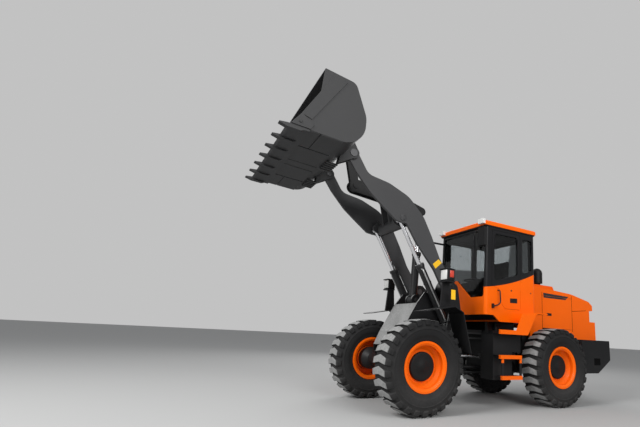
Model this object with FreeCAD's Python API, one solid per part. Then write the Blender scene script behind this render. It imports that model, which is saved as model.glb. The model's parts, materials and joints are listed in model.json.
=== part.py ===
import FreeCAD, Part
import math
import os

# Articulated wheel loader, millimetres. X forward, Y to the left, Z up.
# Every size is laid out from the vertical articulation pivot at X = 0, on the ground at Z = 0.
# The finished set is moved along X at the end, so that its origin is under the middle of its length.
# It stands with its arms raised, the bucket level and the steering straight.

V = FreeCAD.Vector

# Clearances
SEAT = 0.3
MOVE_GAP = 5.0
CUT_PAST = 1.0
CUT_THROUGH = 200.0

# Pin heads
PIN_HEAD_T = 12.0
PIN_HEAD_OVER = 20.0
PIN_HEAVY_HEAD_T = 25.0

# Wheels
WHEELBASE = 2900.0
TRACK = 1850.0
FRONT_AXLE_X = WHEELBASE / 2
REAR_AXLE_X = -WHEELBASE / 2
TYRE_R = 675.0
TYRE_WIDTH = 445.0
TYRE_BEAD_RISE = 4.0
TYRE_BULGE_R = 505.0
TREAD_BASE_R = 638.0
TREAD_BASE_HALF_Y = 203.0
LUG_COUNT = 26
LUG_LENGTH = 108.0
LUG_LEAD = 46.0
LUG_HALF_Y = 213.0
LUG_ROOT_R = 560.0
RIM_SEAT_R = 320.0
RIM_FLANGE_R = 360.0
RIM_WIDTH = 380.0
RIM_FLANGE_T = 12.0
RIM_WALL = 20.0
RIM_DISC_Y = 45.0
RIM_DISC_T = 25.0
RIM_LIP = 10.0
RIM_DISH = 65.0
HUB_R = 175.0
HUB_OUT_Y = 78.0
HUB_EDGE = 15.0
HUB_IN_Y = -30.0
HUB_IN_R = 200.0

# Axles
AXLE_TUBE_R = 105.0
AXLE_DRUM_R = 190.0
AXLE_DRUM_LENGTH = 130.0
AXLE_CONE_LENGTH = 90.0
DIFF_R = 200.0
DIFF_HALF_Y = 110.0
DIFF_CONE_Y = 320.0
PINION_R = 90.0
PINION_REACH = 330.0
AXLE_PAD_Y = (300.0, 460.0)
AXLE_PAD_HALF_X = 140.0
TRUNNION_R = 100.0
TRUNNION_REACH = 330.0
CRADLE_X = (225.0, 285.0)
CRADLE_HALF_Y = 190.0
CRADLE_BOTTOM = 510.0

# Articulation hitch between the two frames
HITCH_TOP_Z = 1150.0
HITCH_LOW_Z = 560.0
HITCH_PIN_R = 45.0
HITCH_LUG_R = 115.0
HITCH_LUG_T = 50.0
HITCH_FORK_T = 30.0
HITCH_PIN_HEAD_R = 70.0
HITCH_PIN_HEAD_T = 15.0

# Rear frame
REAR_BULKHEAD_X = -300.0
REAR_BULKHEAD_HALF_Y = 220.0
REAR_NECK_Y = (170.0, 200.0)
REAR_NECK_END_X = -880.0
REAR_NECK_BOTTOM = 460.0
REAR_RAIL_Y = (360.0, 390.0)
REAR_RAIL_BOTTOM = 880.0
REAR_RAIL_TOP = 1180.0
REAR_RAIL_END_X = REAR_AXLE_X - 1450.0
REAR_PLATE_T = 30.0
CAB_BEAM_X = (-600.0, -330.0)
CAB_BEAM_TOP = 1260.0
CAB_REAR_BEAM_X = (-1150.0, -1050.0)
CAB_SILL_Y = (320.0, 390.0)
CAB_MOUNT_R = 45.0
CAB_MOUNT_Y = 420.0
ENGINE_FOOT_IN_X = 100.0
ENGINE_FOOT_HALF_X = 40.0
ENGINE_FOOT_UNDER = 60.0
ENGINE_FOOT_T = 80.0

# Engine
ENGINE_X = (REAR_AXLE_X - 1200.0, REAR_AXLE_X - 300.0)
ENGINE_HALF_Y = 300.0
ENGINE_Z = (1000.0, 1800.0)

# Counterweight
COUNTER_FRONT_X = REAR_AXLE_X - 715.0
COUNTER_CORNER_X = REAR_AXLE_X - 1590.0
COUNTER_REAR_X = REAR_AXLE_X - 1770.0
COUNTER_HALF_Y = 1000.0
COUNTER_REAR_HALF_Y = 620.0
COUNTER_TOP = 1180.0
COUNTER_BOTTOM = 560.0
COUNTER_CHAMFER_TOP = 930.0
COUNTER_CHAMFER_X = REAR_AXLE_X - 1170.0
COUNTER_CORNER_R = 60.0
COUNTER_REAR_R = 200.0
TOW_PIN_R = 20.0
TOW_PIN_X = REAR_AXLE_X - 1700.0
TOW_SLOT_Z = (960.0, 1060.0)
TOW_SLOT_HALF_Y = 90.0
TOW_SLOT_FRONT = 90.0
TOW_HOLE_BOTTOM = 900.0

# Bonnet over the engine
BONNET_HALF_Y = 560.0
BONNET_WALL = 25.0
BONNET_FRONT_X = -1215.0
BONNET_TOP_FRONT_Z = 2170.0
BONNET_TOP_BEND = (REAR_AXLE_X - 990.0, 2100.0)
BONNET_TAIL_TOP = (REAR_AXLE_X - 1550.0, 1990.0)
BONNET_BAND_X = REAR_AXLE_X - 1670.0
BONNET_BAND_Z = (1800.0, 1910.0)
BONNET_REAR_X = REAR_AXLE_X - 1560.0
BONNET_TOP_BEND_R = 900.0
BONNET_TAIL_R = 60.0
BONNET_SLANT_SHARE = 0.5
BONNET_CROWN = 50.0
BONNET_EDGE_R = 70.0
BONNET_INNER_EDGE_R = 10.0
ENGINE_DOOR_X = (REAR_AXLE_X - 990.0, REAR_AXLE_X - 110.0)
ENGINE_DOOR_Z = (1370.0, 2000.0)
ENGINE_DOOR_GAP = 5.0
DOOR_HINGE_HALF = 60.0
DOOR_HINGE_SHARES = (0.2, 0.8)
ARCH_X = (REAR_AXLE_X - 750.0, REAR_AXLE_X - 110.0)
ARCH_TOP = 1365.0
BONNET_BUMP_X = (REAR_AXLE_X - 850.0, REAR_AXLE_X - 110.0)
BONNET_BUMP_HALF_Y = 260.0
BONNET_BUMP_TOP = 2260.0
BONNET_BUMP_RAMP = 90.0
LAMP_POD_X = REAR_AXLE_X - 1740.0
LAMP_POD_Y = (400.0, 560.0)
LAMP_POD_TOP = 1560.0
GRILLE_Z = (1230.0, 1770.0)
GRILLE_T = 30.0
GRILLE_BORDER = 40.0
GRILLE_BAR_IN = 5.0
GRILLE_BAR_Z = 14.0
GRILLE_PITCH = 45.0
TAIL_LAMP_SIZE = (12.0, 120.0, 90.0)
TAIL_LAMP_DROP = 120.0

# Exhaust stack on the bonnet
EXHAUST_X = REAR_AXLE_X - 570.0
EXHAUST_R = 115.0
EXHAUST_TOP = 2660.0
EXHAUST_NECK_R = 70.0
EXHAUST_BODY_Z = 2330.0

# Side tanks, steps and rear fenders
TANK_Y = (500.0, 820.0)
TANK_X = (-490.0, -60.0)
TANK_Z = (450.0, 1200.0)
TANK_BACK_X = -700.0
TANK_BACK_BOTTOM = 900.0
STEP_OUT_Y = 1020.0
STEP_T = 60.0
STEP_TABLE = (
    # top height, front and rear X, upper step first
    (860.0, -50.0, -535.0), (530.0, -93.0, -545.0),
)
STEP_BAR_W = 45.0
STEP_PLATE_T = 10.0
STEP_LINK_W = 45.0
STEP_LINK_T = 15.0
FENDER_T = 16.0
LEDGE_BAR_W = 45.0
LEDGE_BAR_T = 70.0
REAR_FENDER_FRONT_X = -50.0
REAR_FENDER_FOOT_X = REAR_AXLE_X + 770.0
REAR_FENDER_BEND = (REAR_AXLE_X + 550.0, 1600.0)
REAR_FENDER_BACK_X = REAR_AXLE_X + 250.0
REAR_FENDER_FLARE = ((REAR_FENDER_FOOT_X + 280.0, 1230.0), (REAR_FENDER_FOOT_X + 120.0, 1570.0))
FENDER_FOOT_R = 40.0
FENDER_BEND_R = 120.0

# Cab
CAB_HALF_Y = 720.0
CAB_FRONT_X = 50.0
CAB_REAR_X = -1200.0
CAB_BOTTOM = 1410.0
CAB_FRONT_BOTTOM = 1520.0
CAB_KINK_X = (-290.0, -150.0)
CAB_ARCH_X = -950.0
CAB_REAR_BOTTOM = 1620.0
CAB_TOP = 3140.0
CAB_TOP_FRONT_X = 20.0
CAB_TOP_REAR_X = -1180.0
CAB_WALL = 55.0
CAB_CORNER_R = 60.0
CAB_INNER_CORNER_R = 5.0
ROOF_T = 90.0
ROOF_OVERHANG = 25.0
ROOF_EDGE_R = 40.0
DOOR_X = (-800.0, -100.0)
DOOR_Z = (1650.0, 3070.0)
DOOR_FOOT = ((-420.0, 1650.0), (-300.0, 1770.0), (-285.0, 1990.0))
DOOR_BEND_Z = 2045.0
DOOR_CORNER_R = 40.0
DOOR_GAP = 5.0
CAB_HINGE_Z = (2080.0, 2800.0)
DOOR_FRAME = 60.0
WINDOW_TOP = 3010.0
WINDOW_CORNER_R = 50.0
DOOR_GLASS_BOTTOM = (2290.0, 2120.0)
SIDE_WINDOW_X = (-1120.0, -860.0)
SIDE_WINDOW_BOTTOM = (2430.0, 2330.0)
FRONT_WINDOW_Z = (1830.0, 3070.0)
FRONT_WINDOW_HALF_Y = CAB_HALF_Y - 58.0
FRONT_PANEL_Y = (280.0, -170.0)
FRONT_PANEL_TOP = 2170.0
REAR_WINDOW_Z = (2350.0, 3030.0)
REAR_WINDOW_HALF_Y = CAB_HALF_Y - 120.0
GLASS_T = 8.0
GLASS_GAP = 0.3

# Seat, steering column and console
SEAT_X = (-950.0, -450.0)
SEAT_HALF_Y = 260.0
SEAT_BASE_TOP = 1900.0
SEAT_BASE_IN = 60.0
SEAT_CUSHION_T = 120.0
SEAT_BACK_TOP = 2650.0
SEAT_BACK_FOOT_T = 130.0
SEAT_BACK_HEAD_X = (-50.0, 60.0)
SEAT_BACK_IN = 40.0
SEAT_BACK_R = 40.0
COLUMN_X = -270.0
COLUMN_R = 60.0
COLUMN_TOP = 2180.0
STEERING_WHEEL_R = 190.0
STEERING_WHEEL_WIRE = 16.0
STEERING_HUB_R = 35.0
STEERING_SPOKE_HALF_Y = 12.0
STEERING_SPOKE_HALF_Z = 8.0
CONSOLE_Y = (160.0 - CAB_HALF_Y, -70.0 - SEAT_HALF_Y)
CONSOLE_X = (-800.0, -400.0)
CONSOLE_TOP = 2130.0

# Mirrors and roof lamps
MIRROR_ARM_R = 14.0
MIRROR_STAY_R = 20.0
MIRROR_Y = CAB_HALF_Y + 140.0
MIRROR_FOOT_IN = 45.0
MIRROR_X = 250.0
MIRROR_Z = (2690.0, 3020.0)
MIRROR_SIZE = (60.0, 180.0)
MIRROR_ARM_DROP = 45.0
ROOF_LAMP_SIZE = (60.0, 150.0, 90.0)
ROOF_LAMP_Y = CAB_HALF_Y - 70.0
ROOF_LAMP_LIFT = 20.0

# Front frame
FRONT_BULKHEAD_X = 420.0
TOWER_REAR_X = 500.0
FRONT_INNER_Y = (365.0, 395.0)
FRONT_OUTER_Y = (612.0, 642.0)
FRONT_BOTTOM = 480.0
FRONT_PAD_Z = 790.0
FRONT_NOSE_X = FRONT_AXLE_X + 150.0
FRONT_NOSE_Z = 930.0
FRONT_SLOPE_LOW = (FRONT_AXLE_X + 50.0, 1160.0)
FRONT_SLOPE_TOP = (FRONT_AXLE_X - 210.0, 1630.0)
FRONT_BELLY_X = FRONT_AXLE_X - 330.0
FRONT_SHELF_X = FRONT_AXLE_X - 270.0
FRONT_SHOULDER_Z = 1480.0
FRONT_CREST = (FRONT_AXLE_X - 350.0, 1820.0)
TOWER_BOTTOM = 600.0
TOWER_FRONT = (950.0, 900.0)
TOWER_WAIST_Z = 1500.0
TOWER_HEAD = (
    # offsets of X and Z from the arm pivot, rear to front
    (-156.0, 42.0), (-60.0, 120.0), (78.0, 102.0),
)
TOWER_CHIN = (132.0, -60.0)
TOWER_LIFT_FACE = (128.0, 32.0, -128.0)
CORE_CHIN = (180.0, -90.0)
FRONT_PLATE_T = 30.0
HITCH_ROOT_HALF_Y = 260.0
TILT_BLOCK_X = (-160.0, 60.0)
TILT_BLOCK_Z = (-260.0, -130.0)
TILT_LUG_R = 90.0

# Front fenders and lamp posts
FRONT_FENDER_Y = (750.0, 1150.0)
FRONT_FENDER_T = 12.0
FRONT_FENDER_LINE = (
    # x, z, from the front tip over the wheel and down behind it
    (FRONT_AXLE_X + 60.0, 1470.0), (FRONT_AXLE_X - 450.0, 1570.0), (FRONT_AXLE_X - 620.0, 1490.0),
    (FRONT_AXLE_X - 790.0, 880.0),
)
FRONT_FENDER_BEND_R = 60.0
FRONT_FENDER_STAY_Z = (1330.0, 1010.0)
FRONT_FENDER_STAY_W = 60.0
FRONT_FENDER_STAY_REACH = 150.0
FRONT_FENDER_STAY_T = 30.0
LAMP_POST_X = (FRONT_AXLE_X - 490.0, FRONT_AXLE_X - 300.0)
LAMP_POST_Y = (930.0, 1050.0)
LAMP_POST_TOP = 1960.0
LAMP_POST_T = 40.0
LAMP_POST_CUT_DEPTH = 400.0
LAMP_POST_TAPER = (40.0, 30.0)
LAMP_SHELF_T = 20.0
HEADLAMP_EDGE_R = 25.0
HEADLAMP_X = (FRONT_AXLE_X - 460.0, FRONT_AXLE_X - 300.0)
HEADLAMP_Y = (910.0, 1110.0)
HEADLAMP_Z = (1960.0, 2150.0)

# Lift arms, in the raised pose
ARM_PIVOT = (750.0, 1900.0)
BUCKET_PIVOT = (2700.0, 3830.0)
ARM_Y = (545.0, 600.0)
ARM_PIVOT_PIN_R = 50.0
ARM_PIVOT_BOSS_R = 120.0
BUCKET_PIN_R = 40.0
BUCKET_PIN_BOSS_R = 95.0
ARM_OUTLINE = (
    # x, z, corner radius
    (2632.0, 3897.0, 0.0), (2400.0, 3560.0, 200.0), (2020.0, 3500.0, 500.0), (1640.0, 3350.0, 500.0),
    (1330.0, 3060.0, 500.0), (1150.0, 2750.0, 500.0), (960.0, 2380.0, 500.0), (660.0, 1980.0, 0.0),
    (830.0, 1810.0, 0.0), (1060.0, 2180.0, 300.0), (1440.0, 2600.0, 300.0), (1640.0, 2880.0, 60.0),
    (1840.0, 2900.0, 60.0), (2110.0, 3095.0, 400.0), (2330.0, 3260.0, 400.0), (2600.0, 3540.0, 300.0),
    (2770.0, 3765.0, 0.0),
)
CROSS_TUBE = (1620.0, 2950.0)
CROSS_TUBE_R = 105.0
ROD_SHELF = (1260.0, 1540.0)
ROD_SHELF_T = 30.0

# Lift cylinders
LIFT_Y = 470.0
LIFT_BASE = (660.0, 1240.0)
LIFT_ROD_PIN = (1720.0, 2970.0)
LIFT_BARREL_R = 65.0
LIFT_BARREL_LENGTH = 1180.0
LIFT_ROD_R = 36.0
LIFT_ROD_LENGTH = 1150.0
LIFT_EYE_R = 62.0
LIFT_EYE_HALF_Y = 40.0
LIFT_BASE_EYE_HALF_Y = LIFT_BARREL_R + MOVE_GAP
LIFT_PIN_R = 34.0
LIFT_LUG_R = 85.0
LIFT_LUG_Y = (365.0, 395.0)

# Bell crank, tilt link and tilt cylinder
CRANK_PIVOT = (1749.0, 3468.0)
CRANK_LOW = (2392.0, 3518.0)
CRANK_HIGH = (1061.0, 3323.0)
LINK_BUCKET_PIN = (2570.0, 4192.0)
TILT_BASE = (1097.0, 1702.0)
CRANK_PLATE_Y = (50.0, 80.0)
CRANK_HUB_R = 110.0
CRANK_HUB_HALF_Y = 90.0
CRANK_PIN_R = 80.0
CRANK_LOW_R = 110.0
CRANK_HIGH_R = 78.0
CRANK_WAIST = 240.0
CRANK_BRACKET_Y = (95.0, 125.0)
LINK_HALF_Y = 40.0
LINK_WIDTH = 150.0
LINK_EYE_R = 95.0
LINK_PIN_R = 60.0
TILT_PIN_R = 38.0
TILT_EYE_R = 80.0
CRANK_CAP_R = 53.0
CRANK_CAP_T = 12.0
TILT_BARREL_R = 70.0
TILT_BARREL_LENGTH = 850.0
TILT_ROD_R = 38.0
TILT_ROD_LENGTH = 1150.0
TILT_EYE_HALF_Y = 40.0
TILT_BASE_EYE_HALF_Y = TILT_BARREL_R + MOVE_GAP
TILT_LUG_T = 35.0

# Bucket
BUCKET_HALF_Y = 1270.0
BUCKET_WALL = 20.0
BUCKET_LINE = (
    # x, z, corner radius of the outer face, from the cutting edge round the heel to the top lip
    (3830.0, 3690.0, 0.0), (2790.0, 3630.0, 330.0), (2790.0, 4120.0, 350.0), (3000.0, 4612.0, 120.0),
    (3472.0, 4670.0, 0.0),
)
BUCKET_SIDE_FRONT = ((3488.0, 4290.0), (3704.0, 3882.0))
BUCKET_EAR_Y = ((503.0, 533.0), (612.0, 642.0))
BUCKET_EAR_FOOT = ((2930.0, 3600.0), (2830.0, 4220.0))
LINK_EAR_FOOT = ((2850.0, 3950.0), (2960.0, 4500.0))
LINK_EAR_R = 95.0
LINK_EAR_HEEL = 30.0
BUCKET_EAR_SHOULDER = (-60.0, 75.0)
BUCKET_EAR_HEEL = (-10.0, -90.0)
EDGE_T = 28.0
EDGE_DEPTH = 260.0
EDGE_NOSE = 30.0
TOOTH_COUNT = 7
TOOTH_HALF_Y = 42.0
TOOTH_REACH = 135.0
TOOTH_BACK = 150.0
TOOTH_T = 50.0
TOOTH_TIP_T = 10.0

# Steering cylinders
STEER_Z = 800.0
STEER_BASE = (-800.0, 420.0)
STEER_ROD_PIN = (240.0, 260.0)
STEER_BARREL_R = 45.0
STEER_BARREL_LENGTH = 640.0
STEER_ROD_R = 22.0
STEER_ROD_LENGTH = 700.0
STEER_EYE_R = 40.0
STEER_EYE_HALF_Z = 30.0
STEER_BASE_EYE_HALF_Z = STEER_BARREL_R + MOVE_GAP
STEER_PIN_R = 20.0
STEER_LUG_T = 20.0
STEER_LUG_EDGE = 10.0
STEER_LUG_HALF_Y = 50.0
STEER_PAD_RISE = 40.0
STEER_HEAD_OVER = 12.0

# Cylinders
NECK_SHARE = 0.8
GLAND_SWELL = 1.08
GLAND_SHARE = 0.9
BORE_END_T = 25.0


def box(x, y, z):
    """Block between the two values of each pair."""
    size = [max(pair) - min(pair) for pair in (x, y, z)]
    return Part.makeBox(*size, V(min(x), min(y), min(z)))


def rod_x(y, z, radius, x0, x1):
    return Part.makeCylinder(radius, abs(x1 - x0), V(min(x0, x1), y, z), V(1, 0, 0))


def rod_y(x, z, radius, y0, y1):
    return Part.makeCylinder(radius, abs(y1 - y0), V(x, min(y0, y1), z), V(0, 1, 0))


def rod_z(x, y, radius, z0, z1):
    return Part.makeCylinder(radius, abs(z1 - z0), V(x, y, min(z0, z1)), V(0, 0, 1))


def fuse(shapes):
    """One solid from pieces that share faces or overlap."""
    shapes = list(shapes)
    whole = shapes[0]
    if len(shapes) > 1:
        whole = shapes[0].multiFuse(shapes[1:])
    return whole.removeSplitter()


def both_sides(shape):
    """A left piece and its mirror image on the right."""
    return Part.makeCompound([shape, shape.mirror(V(0, 0, 0), V(0, 1, 0))])


def corner(before, at, after, radius):
    """Start, middle and end of the arc that rounds the corner at one vertex."""
    a = V(before[0] - at[0], before[1] - at[1], 0)
    b = V(after[0] - at[0], after[1] - at[1], 0)
    a.normalize()
    b.normalize()
    half = a.getAngle(b) / 2
    bisector = a + b
    bisector.normalize()
    vertex = V(at[0], at[1], 0)
    reach = radius / math.tan(half)
    centre = vertex + bisector * (radius / math.sin(half))
    return vertex + a * reach, centre - bisector * radius, vertex + b * reach


def rounded_edges(points, place, closed=True):
    """Lines and tangent arcs along vertices (u, v, corner radius); place turns (u, v) into a 3-D point."""
    edges = []
    marks = []
    count = len(points)
    for i, point in enumerate(points):
        radius = point[2] if len(point) > 2 else 0.0
        at_end = not closed and i in (0, count - 1)
        if radius <= 0 or at_end:
            spot = V(point[0], point[1], 0)
            marks.append((spot, None, spot))
        else:
            marks.append(corner(points[i - 1], point, points[(i + 1) % count], radius))
    spans = count if closed else count - 1
    for i, (start, middle, end) in enumerate(marks):
        if middle is not None:
            arc = Part.Arc(place(start), place(middle), place(end))
            edges.append(arc.toShape())
        if i < spans:
            after = marks[(i + 1) % count][0]
            if (after - end).Length > 0.01:
                edges.append(Part.LineSegment(place(end), place(after)).toShape())
    return edges


def in_xz(y):
    return lambda p: V(p.x, y, p.y)


def in_yz(x):
    return lambda p: V(x, p.x, p.y)


def in_xy(z):
    return lambda p: V(p.x, p.y, z)


def plate_y(points, y):
    """Plate with an outline in X and Z, between two Y values."""
    face = Part.Face(Part.Wire(rounded_edges(points, in_xz(min(y)))))
    return face.extrude(V(0, max(y) - min(y), 0))


def plate_x(points, x):
    """Plate with an outline in Y and Z, between two X values."""
    face = Part.Face(Part.Wire(rounded_edges(points, in_yz(min(x)))))
    return face.extrude(V(max(x) - min(x), 0, 0))


def plate_z(points, z):
    """Plate with an outline in X and Y, between two Z values."""
    face = Part.Face(Part.Wire(rounded_edges(points, in_xy(min(z)))))
    return face.extrude(V(0, 0, max(z) - min(z)))


def offset_line(points, distance):
    """Open line moved to its left by a distance, each corner radius changed to stay parallel."""
    normals = []
    for a, b in zip(points, points[1:]):
        length = math.hypot(b[0] - a[0], b[1] - a[1])
        normals.append((-(b[1] - a[1]) / length, (b[0] - a[0]) / length))
    moved = []
    for i, point in enumerate(points):
        n0 = normals[max(i - 1, 0)]
        n1 = normals[min(i, len(normals) - 1)]
        scale = distance / (1 + n0[0] * n1[0] + n0[1] * n1[1])
        turn = n0[0] * n1[1] - n0[1] * n1[0]
        radius = point[2] if len(point) > 2 else 0.0
        if radius > 0:
            radius -= math.copysign(distance, turn)
        moved.append((point[0] + (n0[0] + n1[0]) * scale, point[1] + (n0[1] + n1[1]) * scale, radius))
    return moved


def drawn_in(outline, distance):
    """Closed outline, listed anticlockwise, with every side moved inwards by a distance."""
    count = len(outline)
    around = tuple(outline) + (outline[0],)
    sides = offset_line(around, distance)
    before = offset_line((outline[-1],) + around, distance)
    moved = [before[1]] + sides[1:count]
    return tuple(moved)


def strip_y(points, thickness, y):
    """Bent sheet along an open line in X and Z, between two Y values."""
    place = in_xz(min(y))
    first = rounded_edges(points, place, closed=False)
    second = rounded_edges(offset_line(points, thickness), place, closed=False)
    ends = []
    for index in (0, -1):
        a = V(points[index][0], points[index][1], 0)
        moved = offset_line(points, thickness)[index]
        ends.append(Part.LineSegment(place(a), place(V(moved[0], moved[1], 0))).toShape())
    wire = Part.Wire(Part.__sortEdges__(first + second + ends))
    return Part.Face(wire).extrude(V(0, max(y) - min(y), 0))


def revolved_y(points, x, y, z):
    """Ring or disc turned about a line along Y; points are (y, radius)."""
    edges = []
    spots = [V(p[0], p[1], 0) for p in points]
    for a, b in zip(spots, spots[1:] + spots[:1]):
        edges.append(Part.LineSegment(V(0, a.x, a.y), V(0, b.x, b.y)).toShape())
    face = Part.Face(Part.Wire(edges))
    shape = face.revolve(V(0, 0, 0), V(0, 1, 0), 360)
    shape.translate(V(x, y, z))
    return shape


def along(base, tip):
    """Unit direction and distance from one (x, z) point to another."""
    dx = tip[0] - base[0]
    dz = tip[1] - base[1]
    length = math.hypot(dx, dz)
    return V(dx / length, 0, dz / length), length


def bar_plate(a, b, width_a, width_b, y):
    """Tapered plate between two (x, z) points, with a given half width at each."""
    way, _ = along(a, b)
    side = V(-way.z, 0, way.x)
    points = []
    for spot, half, sign in ((a, width_a, 1), (b, width_b, 1), (b, width_b, -1), (a, width_a, -1)):
        points.append((spot[0] + side.x * half * sign, spot[1] + side.z * half * sign))
    return plate_y(points, y)


# Wheels

def wheel_point(across, radius, turn):
    """Point of a wheel centred on the origin, turned from straight ahead towards the top."""
    return V(radius * math.cos(turn), across, radius * math.sin(turn))


def tyre_section():
    """Closed section of the tyre's body; points are (y, radius)."""
    bead = RIM_WIDTH / 2 - RIM_FLANGE_T - SEAT
    half = TYRE_WIDTH / 2
    side = ((bead, RIM_SEAT_R + SEAT), (bead, RIM_FLANGE_R + TYRE_BEAD_RISE), (half, TYRE_BULGE_R),
            (TREAD_BASE_HALF_Y, TREAD_BASE_R))
    return side + tuple((-y, r) for y, r in reversed(side))


def tyre_body():
    """Body of the tyre, with one flat-faced part of its ring for each lug."""
    half_turn = math.pi / LUG_COUNT
    section = [(y, r / math.cos(half_turn)) for y, r in tyre_section()]
    faces = []
    for i in range(LUG_COUNT):
        first = (2 * i - 1) * half_turn
        last = first + 2 * half_turn
        for a, b in zip(section, section[1:] + section[:1]):
            spots = [wheel_point(*a, first), wheel_point(*b, first), wheel_point(*b, last), wheel_point(*a, last)]
            faces.append(Part.Face(Part.makePolygon(spots + spots[:1])))
    ring = Part.makeCompound(faces)
    ring.sewShape()
    body = Part.Solid(ring.Shells[0])
    if body.Volume < 0:
        body.reverse()
    return body


def lug(turn):
    """One arrow-shaped lug, its middle ahead of its ends, that reaches down to the ground and no lower."""
    pitch = 2 * math.pi / LUG_COUNT
    reach = (LUG_LENGTH + LUG_LEAD) / 2
    face_r = min(TYRE_R, (TYRE_R - reach * math.sin(pitch)) / math.cos(pitch))
    half, lead, side = LUG_LENGTH / 2, LUG_LEAD / 2, LUG_HALF_Y
    outline = ((lead - half, 0), (-lead - half, side), (half - lead, side), (half + lead, 0),
               (half - lead, -side), (-lead - half, -side))
    ahead = V(-math.sin(turn), 0, math.cos(turn))
    out = V(math.cos(turn), 0, math.sin(turn))
    spots = [ahead * along_tread + V(0, y, 0) + out * LUG_ROOT_R for along_tread, y in outline]
    face = Part.Face(Part.makePolygon(spots + spots[:1]))
    return face.extrude(out * (face_r - LUG_ROOT_R))


def tyre():
    """Tyre about its own centre, with a lug straight down."""
    down = -math.pi / 2
    pitch = 2 * math.pi / LUG_COUNT
    return fuse([tyre_body()] + [lug(down + pitch * i) for i in range(LUG_COUNT)])


def rim():
    """Rim, dished disc and hub about the wheel's centre, outer side towards +Y."""
    half = RIM_WIDTH / 2
    inner = RIM_SEAT_R - RIM_WALL
    flange = half - RIM_FLANGE_T
    lip = RIM_SEAT_R + RIM_LIP
    disc_in = RIM_DISC_Y - RIM_DISC_T
    points = ((half, lip), (half, RIM_FLANGE_R), (flange, RIM_FLANGE_R), (flange, RIM_SEAT_R),
              (-flange, RIM_SEAT_R), (-flange, RIM_FLANGE_R), (-half, RIM_FLANGE_R), (-half, lip),
              (RIM_WALL - half, inner), (disc_in, inner), (disc_in, HUB_IN_R), (HUB_IN_Y, HUB_IN_R),
              (HUB_IN_Y, 0), (HUB_OUT_Y, 0), (HUB_OUT_Y, HUB_R - HUB_EDGE), (HUB_OUT_Y - HUB_EDGE, HUB_R),
              (RIM_DISC_Y, HUB_R), (RIM_DISC_Y, HUB_R + RIM_DISH), (RIM_DISC_Y + RIM_DISH, inner),
              (half - RIM_WALL, inner))
    return revolved_y(points, 0, 0, 0)


def wheel_places():
    """Name, X and side of each wheel."""
    for end, x in (("front", FRONT_AXLE_X), ("rear", REAR_AXLE_X)):
        for name, side in (("left", 1), ("right", -1)):
            yield end + "_" + name, x, side


def placed_on_wheel(shape, x, side):
    copy = shape.copy() if side > 0 else shape.mirror(V(0, 0, 0), V(0, 1, 0))
    copy.translate(V(x, side * TRACK / 2, TYRE_R))
    return copy


# Axles

def axle_beam(x):
    """Drive axle: middle housing, tubes and wheel-end drums."""
    end = TRACK / 2 + HUB_IN_Y - SEAT
    drum = end - AXLE_DRUM_LENGTH
    cone = drum - AXLE_CONE_LENGTH
    half = ((0, DIFF_R), (DIFF_HALF_Y, DIFF_R), (DIFF_CONE_Y, AXLE_TUBE_R), (cone, AXLE_TUBE_R),
            (drum, AXLE_DRUM_R), (end, AXLE_DRUM_R), (end, 0))
    points = half + tuple((-y, r) for y, r in reversed(half[1:]))
    return revolved_y(points, x, 0, TYRE_R)


def front_axle():
    x = FRONT_AXLE_X
    pads = both_sides(box((x - AXLE_PAD_HALF_X, x + AXLE_PAD_HALF_X), AXLE_PAD_Y, (TYRE_R, FRONT_PAD_Z)))
    pinion = rod_x(0, TYRE_R, PINION_R, x - PINION_REACH, x)
    return fuse([axle_beam(x), pinion] + pads.Solids)


def rear_axle():
    """Rear axle with the two trunnions on which it rocks."""
    x = REAR_AXLE_X
    trunnion = rod_x(0, TYRE_R, TRUNNION_R, x - TRUNNION_REACH, x + TRUNNION_REACH)
    return fuse([axle_beam(x), trunnion])


# Rear frame and what it carries

def hitch_lug(z, thickness, root_x, root_half_y):
    """Horizontal lug around the pivot, widening to its root."""
    points = ((root_x, -root_half_y), (0, -HITCH_LUG_R), (0, HITCH_LUG_R), (root_x, root_half_y))
    eye = rod_z(0, 0, HITCH_LUG_R, z, z + thickness)
    return fuse([plate_z(points, (z, z + thickness)), eye])


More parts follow.
